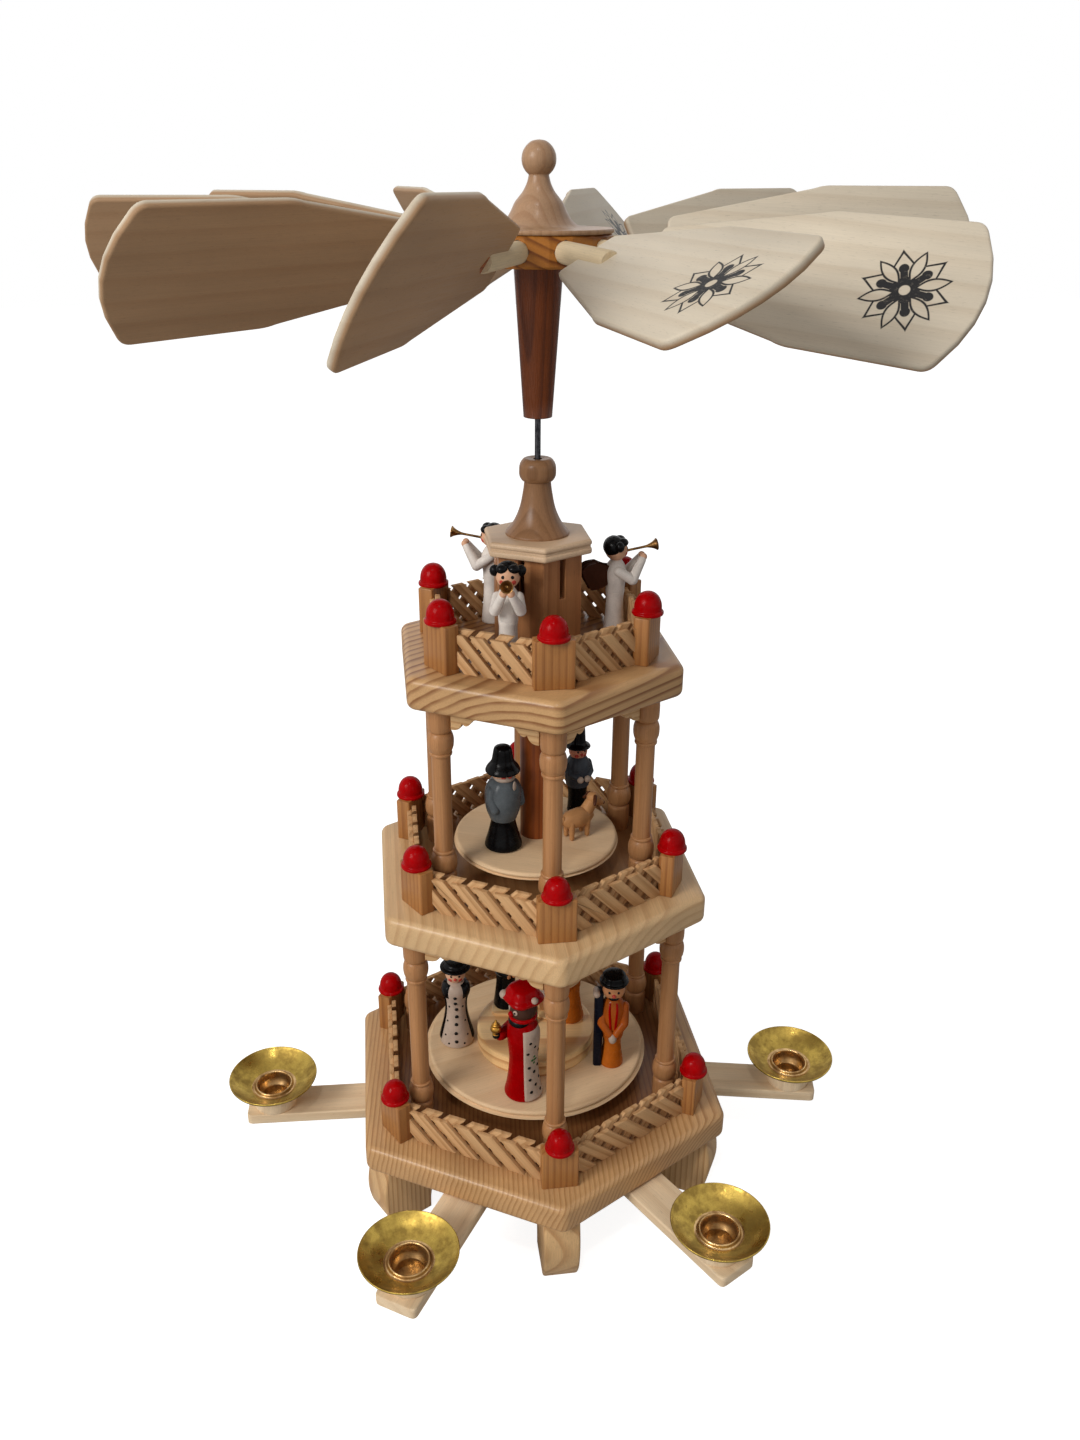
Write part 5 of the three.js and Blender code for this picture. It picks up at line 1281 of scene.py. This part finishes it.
# %% Floor
floor_mesh = bpy.data.meshes.new("floor")
floor_mesh.from_pydata([(-4, -4, 0), (4, -4, 0), (4, 4, 0), (-4, 4, 0)], [], [(0, 1, 2, 3)])
floor = bpy.data.objects.new("floor", floor_mesh)
bpy.context.scene.collection.objects.link(floor)
floor_finish = bpy.data.materials.new("floor_paper")
floor_finish.use_nodes = True
tree = floor_finish.node_tree
paper = tree.nodes["Principled BSDF"]
paper.inputs["Roughness"].default_value = 0.8
speck = put(tree, "TexNoise", {"Scale": 300.0}).outputs[0]
tree.links.new(mix(tree, speck, (0.55, 0.55, 0.55, 1), (0.6, 0.6, 0.6, 1)), paper.inputs["Base Color"])
paper.inputs["Emission Color"].default_value = (1, 1, 1, 1)
paper.inputs["Specular IOR Level"].default_value = 0.1
seen = put(tree, "LightPath")
tree.links.new(calc(tree, "MULTIPLY", seen.outputs["Is Camera Ray"], 0.88), paper.inputs["Emission Strength"])
floor_mesh.materials.append(floor_finish)
print("floor:", [round(side, 2) for side in floor.dimensions], "m")

# %% World
world = bpy.data.worlds.new("studio")
world.use_nodes = True
bpy.context.scene.world = world
tree = world.node_tree
tree.nodes.clear()
seen = put(tree, "LightPath")
direct = calc(tree, "MAXIMUM", seen.outputs["Is Camera Ray"], calc(tree, "MAXIMUM", seen.outputs["Is Glossy Ray"],
                                                                      seen.outputs["Is Transmission Ray"]))
FILL_STRENGTH = 0.29  # what the surroundings give as light, where 1 is the white that the camera sees
strength = fit(tree, direct, 0.0, 1.0, FILL_STRENGTH, 1.0)
sky = put(tree, "Background", {"Color": (1, 1, 1, 1), "Strength": strength})
tree.links.new(sky.outputs[0], put(tree, "OutputWorld").inputs[0])
print("surroundings light the shade with", FILL_STRENGTH)


# %% Lamps
def lamp(name, place, target, size, power, colour=(1, 1, 1)):
    """A square lamp that looks at its target, from a place in metres."""
    light = bpy.data.lights.new(name, "AREA")
    light.size, light.energy, light.color = size, power, colour
    obj = bpy.data.objects.new(name, light)
    matrix = np.eye(4)
    matrix[:3, :3] = axes_to(np.array(place, float) - np.array(target, float))
    matrix[:3, 3] = place
    obj.matrix_world = Matrix(matrix.tolist())
    bpy.context.scene.collection.objects.link(obj)


lamp("window", (-1.4, -1.0, 1.15), (0, 0, 0.2), 0.8, 26, (1.0, 0.98, 0.95))
lamp("gleam", (-0.25, -0.8, 1.7), (0, 0, 0.2), 0.1, 3.5, (1.0, 0.98, 0.96))
lamp("fill", (0.9, -1.5, 0.9), (0, 0, 0.2), 1.2, 0.8, (1.0, 0.98, 0.96))
print("lamps:", [light.name for light in bpy.data.lights])

# %% Camera
yaw, pitch, roll = math.radians(7.94), math.radians(24.60), math.radians(0.33)
forward = np.array([math.sin(yaw) * math.cos(pitch), math.cos(yaw) * math.cos(pitch), -math.sin(pitch)])
level = np.array([math.cos(yaw), -math.sin(yaw), 0])
upright = np.cross(level, forward)
right = level * math.cos(roll) + upright * math.sin(roll)
up = upright * math.cos(roll) - level * math.sin(roll)
camera_data = bpy.data.cameras.new("camera")
camera_data.lens, camera_data.sensor_width, camera_data.clip_start = 29.7, 36, 0.01
camera = bpy.data.objects.new("camera", camera_data)
pose = np.eye(4)
pose[:3, 0], pose[:3, 1], pose[:3, 2], pose[:3, 3] = right, up, -forward, (-0.0586, -0.4303, 0.4161)
camera.matrix_world = Matrix(pose.tolist())
bpy.context.scene.collection.objects.link(camera)
bpy.context.scene.camera = camera
bpy.context.scene.view_settings.view_transform = "Standard"
print("lens:", camera_data.lens, "mm")

# %% [markdown]
# ## Box and count
#
# The new pieces must stay inside the box of the measured solids. The box of the new pieces and the hub is worked out
# here, and their triangles are counted.

# %% Boxes
low, high = np.full(3, np.inf), np.full(3, -np.inf)  # every object lies at the origin, so its points are its places
for obj in made + [hub]:
    places = np.zeros(len(obj.data.vertices) * 3)
    obj.data.vertices.foreach_get("co", places)
    places = places.reshape(-1, 3)
    low, high = np.minimum(low, places.min(0)), np.maximum(high, places.max(0))
triangles = sum(len(face.vertices) - 2 for obj in made for face in obj.data.polygons)
print("pieces:", len(made), "triangles:", triangles)
